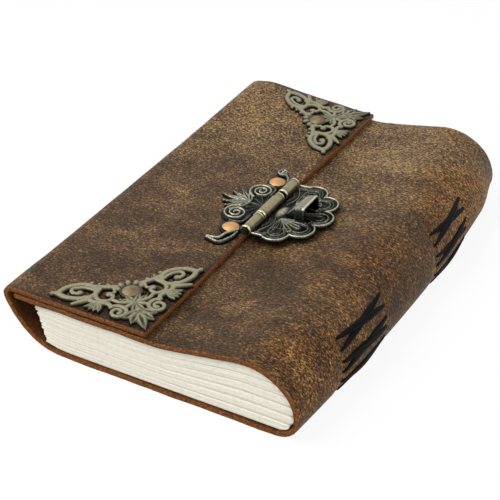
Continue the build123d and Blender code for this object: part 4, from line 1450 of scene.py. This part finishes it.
    @staticmethod
    def petal(root: Sequence[float], tip: Sequence[float], wide: float) -> np.ndarray:
        """Outline of a petal: out from its root, round its tip and back.

        Args:
            root: where it grows from.
            tip: the middle of its round end.
            wide: its half width there.

        Returns:
            The outline's points.
        """
        root, tip = np.array(root, float), np.array(tip, float)
        way = (tip - root) / np.linalg.norm(tip - root)
        side = np.array([-way[1], way[0]])
        out = np.linspace(0, 1, 9)[:-1, None]
        turn = np.linspace(-math.pi / 2, math.pi / 2, 13)[:, None]
        there = root + (tip - root) * out - side * wide * out**0.7
        back = (root + (tip - root) * out + side * wide * out**0.7)[::-1]
        return np.concatenate([there, tip + way * wide * np.cos(turn) + side * wide * np.sin(turn), back])

    def tube(self, name: str, spans: list[tuple[float, float]], material: bpy.types.Material) -> bpy.types.Object:
        """Make knuckles round the hinge's axis with worn round ends.

        Args:
            name: the piece's name.
            spans: where each knuckle begins and ends along the hinge.
            material: its finish.

        Returns:
            The piece.
        """
        axis, around = self.axis(), self.around
        points, faces, shine = [], [], []
        # Distance from the knuckle's end, radius and rub.
        ends = ((0.0, 0.95, 0.1), (0.0, 1.55, 0.2), (0.18, 1.8, 0.6), (0.45, 2.06, 0.95), (0.9, 2.1, 0.9),
                (1.25, 1.98, 0.4), (1.6, 1.97, 0.65), (3.2, 2.0, 0.7))
        for low, high in spans:
            profile = [(low + y, radius, rub) for y, radius, rub in ends]
            profile += [(high - y, radius, rub) for y, radius, rub in reversed(ends)]
            faces += woven(len(points), len(profile), around, (True, True))
            for y, radius, rub in profile:
                for k in range(around):
                    angle = math.tau * k / around
                    reach = radius * (1 + 0.012 * wander(y * 0.8, 3 * math.cos(angle), 3 * math.sin(angle)))
                    points.append(axis + Vector((reach * math.cos(angle), y, reach * math.sin(angle))) * MM)
                    shine.append(rub)
        return mesh_piece(name, np.array(points), faces, material, height=np.array(shine))

    def hood(self, place: Matrix, material: bpy.types.Material) -> bpy.types.Object:
        """Make the hood over the slot: a bent cap with a rolled lip at its mouth.

        Args:
            place: what brings the leaf's millimetres to the book.
            material: its finish.

        Returns:
            The piece.
        """
        face, foot, stations = 1.3, 0.8, []
        back, mouth, height = self.hood_back, self.hood_mouth, self.hood_height
        for along, rise, wide, rub in ((back, 0.1, 0.42, 0.6), (back + 1.2, 1.2, 0.5, 0.7),
                                       (back + 3.4, 3.4, 0.66, 0.72), (back + 5.0, 4.9, 0.84, 0.74),
                                       (back + 5.8, 5.5, 1.0, 0.9), (back + 6.4, 5.75, 1.0, 0.8),
                                       (mouth - 1.2, height - 0.15, 1.0, 0.78),
                                       (mouth - 0.4, height + 0.15, 1.02, 0.98), (mouth, height, 1.01, 0.95)):
            stations.append((along, face + rise, self.hood_width / 2 * wide, rub))
        for along, rise, wide, _ in reversed(stations):
            part = (along - back) / (mouth - back)
            stations.append((min(along + 1.0 - part, mouth), rise - 0.4 - 0.7 * part, wide - 1.1, 0.15))
        points, shine = [], []
        arch = [(-1, 0), (-1, 0.5), (-0.97, 0.86), (-0.85, 1.0)]
        arch += [(across, 1.0) for across in np.linspace(-0.75, 0.75, 13)]
        arch += [(-across, up) for across, up in reversed(arch[:4])]
        for along, rise, wide, rub in stations:
            slope = along < back + 5.5 and rub > 0.2
            for across, up in arch:
                lines = [math.exp(-(((across - at) / 0.07) ** 2)) for at in (-0.75, -0.3, 0.3, 0.75)]
                line = max(lines) if slope else 0.0
                points.append((along, across * wide, foot + max(rise + 0.25 * line - foot, 0.02) * up))
                shine.append(rub * (0.7 if up < 0.9 else 1.0) + 0.35 * line)
        width = len(arch)
        faces = woven(0, len(stations), width, (True, False))
        half = len(stations) // 2
        for k in (0, width - 1):
            for row in range(half - 1):
                mirror = len(stations) - 1 - row
                faces.append((row * width + k, (row + 1) * width + k, (mirror - 1) * width + k, mirror * width + k))
        return mesh_piece("hasp_hood", carried(np.array(points), place), faces, material, height=np.array(shine))

    def build(self, finishes: Finishes) -> None:
        """Make the plate, the knuckles, the leaf and its hood.

        Args:
            finishes: the diary's materials.
        """
        axis = self.axis()
        flat = Matrix(((-1, 0, 0, axis.x), (0, 1, 0, 0), (0, 0, 1, self.book.flap_top), (0, 0, 0, 1)))
        plate = self.draw_plate().build("clasp_scrolls", flat, finishes.clasp, self.plate_full)
        middle = self.tube("clasp_knuckle", [(-self.knuckle / 2, self.knuckle / 2 - self.worn_middle)],
                           finishes.knuckle)
        for piece in (plate, middle):
            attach(piece, "flap")
        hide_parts("clasp_plate")
        c, s = math.cos(self.leaf_tilt), math.sin(self.leaf_tilt)
        under = axis - Vector((-s, 0, c)) * self.barrel * MM
        tilted = Matrix(((c, 0, -s, under.x), (0, 1, 0, 0), (s, 0, c, under.z), (0, 0, 0, 1)))
        shell = self.draw_leaf().build("hasp_shell", tilted, finishes.clasp, self.leaf_full)
        inner, outer = self.knuckle / 2 + self.knuckle_gap, self.barrel_length / 2
        outer_knuckles = self.tube("hasp_knuckles", [(-outer, -inner), (inner + self.worn_outer, outer)],
                                   finishes.knuckle)
        hood = self.hood(tilted, finishes.clasp)
        for piece in (shell, outer_knuckles, hood):
            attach(piece, "leaf")
        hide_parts("hasp_leaf")
        for piece in (plate, middle, shell, outer_knuckles, hood):
            LOG.info("clasp: %s, %d faces", piece.name, len(piece.data.polygons))


@dataclass
class Fasteners:
    """Brads, pin and catch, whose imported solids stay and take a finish."""

    clasp_brads: tuple[str, ...] = ("clasp_brad_near", "clasp_brad_far")
    corner_brads: tuple[str, ...] = ("corner_brad_near", "corner_brad_far")
    plain: tuple[str, ...] = ("hinge_pin", "catch_plate", "catch_rivet_near", "catch_rivet_far")

    def build(self, finishes: Finishes) -> None:
        """Dress the fasteners.

        Args:
            finishes: the diary's materials.
        """
        for names, material in ((self.clasp_brads, finishes.copper), (self.corner_brads, finishes.brass),
                                (self.plain, finishes.plain)):
            for name in names:
                slots = frame["nodes"][name].data.materials
                slots.clear()
                slots.append(material)
                LOG.info("fastener: %s", name)


@dataclass
class Studio:
    """White table, soft light from the upper left, a weaker one from the right, and the picture's camera."""

    lens: float = 102.39
    distance: float = 534.2 * MM
    azimuth: float = math.radians(29.23)
    elevation: float = math.radians(33.64)
    target: tuple[float, ...] = mm(0.02, -16.23, 15.0)
    lamps: tuple[tuple[str, tuple[float, float, float], float], ...] = (("key", (-0.7, -0.5, 1.0), 13.0),
                                                                        ("fill", (1.0, -0.6, 0.6), 5.4))
    lamp_size: float = 0.8
    sky: float = 0.55
    table_half: float = 3.0
    table_drop: float = 0.05 * MM
    table_share: tuple[float, float] = (0.46, 0.9)

    @staticmethod
    def seen(tree: bpy.types.NodeTree) -> bpy.types.Node:
        """A node with 1 for rays that the eye follows, straight or by a shine or a clear body, and 0 for others."""
        rays = add(tree, "ShaderNodeLightPath").outputs
        either = add(tree, "ShaderNodeMath", {0: rays["Is Camera Ray"], 1: rays["Is Glossy Ray"]},
                     operation="MAXIMUM")
        return add(tree, "ShaderNodeMath", {0: either, 1: rays["Is Transmission Ray"]}, operation="MAXIMUM")

    def floor(self) -> None:
        """Lay a white table that keeps the soft shadow."""
        mesh = bpy.data.meshes.new("table")
        reach = self.table_half
        mesh.from_pydata([(-reach, -reach, 0), (reach, -reach, 0), (reach, reach, 0), (-reach, reach, 0)], [],
                         [(0, 1, 2, 3)])
        made, tree, shader = new_material("white_table")
        feed(tree, shader, {"Base Color": linear("f4f4f2"), "Roughness": 1.0, "Specular IOR Level": 0.0})
        seen = self.seen(tree)
        share = add(tree, "ShaderNodeMapRange", {"Value": seen, "To Min": self.table_share[0],
                                                 "To Max": self.table_share[1]})
        glow = add(tree, "ShaderNodeEmission", {"Color": linear("ffffff"), "Strength": seen})
        dim = add(tree, "ShaderNodeMixShader", {"Fac": share, 1: shader, 2: glow})
        feed(tree, tree.nodes["Material Output"], {"Surface": dim})
        mesh.materials.append(made)
        table = placed("table", mesh)
        table.location.z = -self.table_drop

    def lamp(self, name: str, place: tuple[float, float, float], power: float) -> None:
        """Hang a square soft lamp that faces the book.

        Args:
            name: its name.
            place: where it hangs, in metres.
            power: its power in watts.
        """
        light = bpy.data.lights.new(name, "AREA")
        light.size = self.lamp_size
        light.energy = power
        made = placed(name, light)
        made.location = place
        made.rotation_euler = Vector(place).to_track_quat("Z", "Y").to_euler()

    def build(self) -> None:
        """Set up table, lamps, sky and camera."""
        scene = bpy.context.scene
        scene.view_settings.view_transform = "Standard"
        self.floor()
        for lamp in self.lamps:
            self.lamp(*lamp)
        world = bpy.data.worlds.new("studio")
        scene.world = world
        world.use_nodes = True
        tree = world.node_tree
        level = add(tree, "ShaderNodeMapRange", {"Value": self.seen(tree), "To Min": self.sky, "To Max": 1.0})
        feed(tree, tree.nodes["Background"], {"Color": linear("ffffff"), "Strength": level})
        data = bpy.data.cameras.new("camera")
        data.lens = self.lens
        data.sensor_width = 36.0
        data.clip_end = 20.0
        camera = placed("camera", data)
        a, e = self.azimuth, self.elevation
        back = Vector((math.sin(a) * math.cos(e), -math.cos(a) * math.cos(e), math.sin(e)))
        camera.location = Vector(self.target) + back * self.distance
        camera.rotation_euler = back.to_track_quat("Z", "Y").to_euler()
        scene.camera = camera


def main() -> None:
    """Build the diary's pieces in order, then the studio round it."""
    logging.basicConfig(level=logging.INFO, format="%(message)s")
    finishes = Finishes.make()
    book = BookLines.from_frame()
    path = HidePath(book)
    lacing = Lacing(book, path)
    Hide(book, path, lacing).build(finishes)
    TextBlock(book, path).build(finishes)
    lacing.build(finishes)
    CornerPlates(book).build(finishes)
    Clasp(book).build(finishes)
    Fasteners().build(finishes)
    Studio().build()


if __name__ == "__main__":
    main()
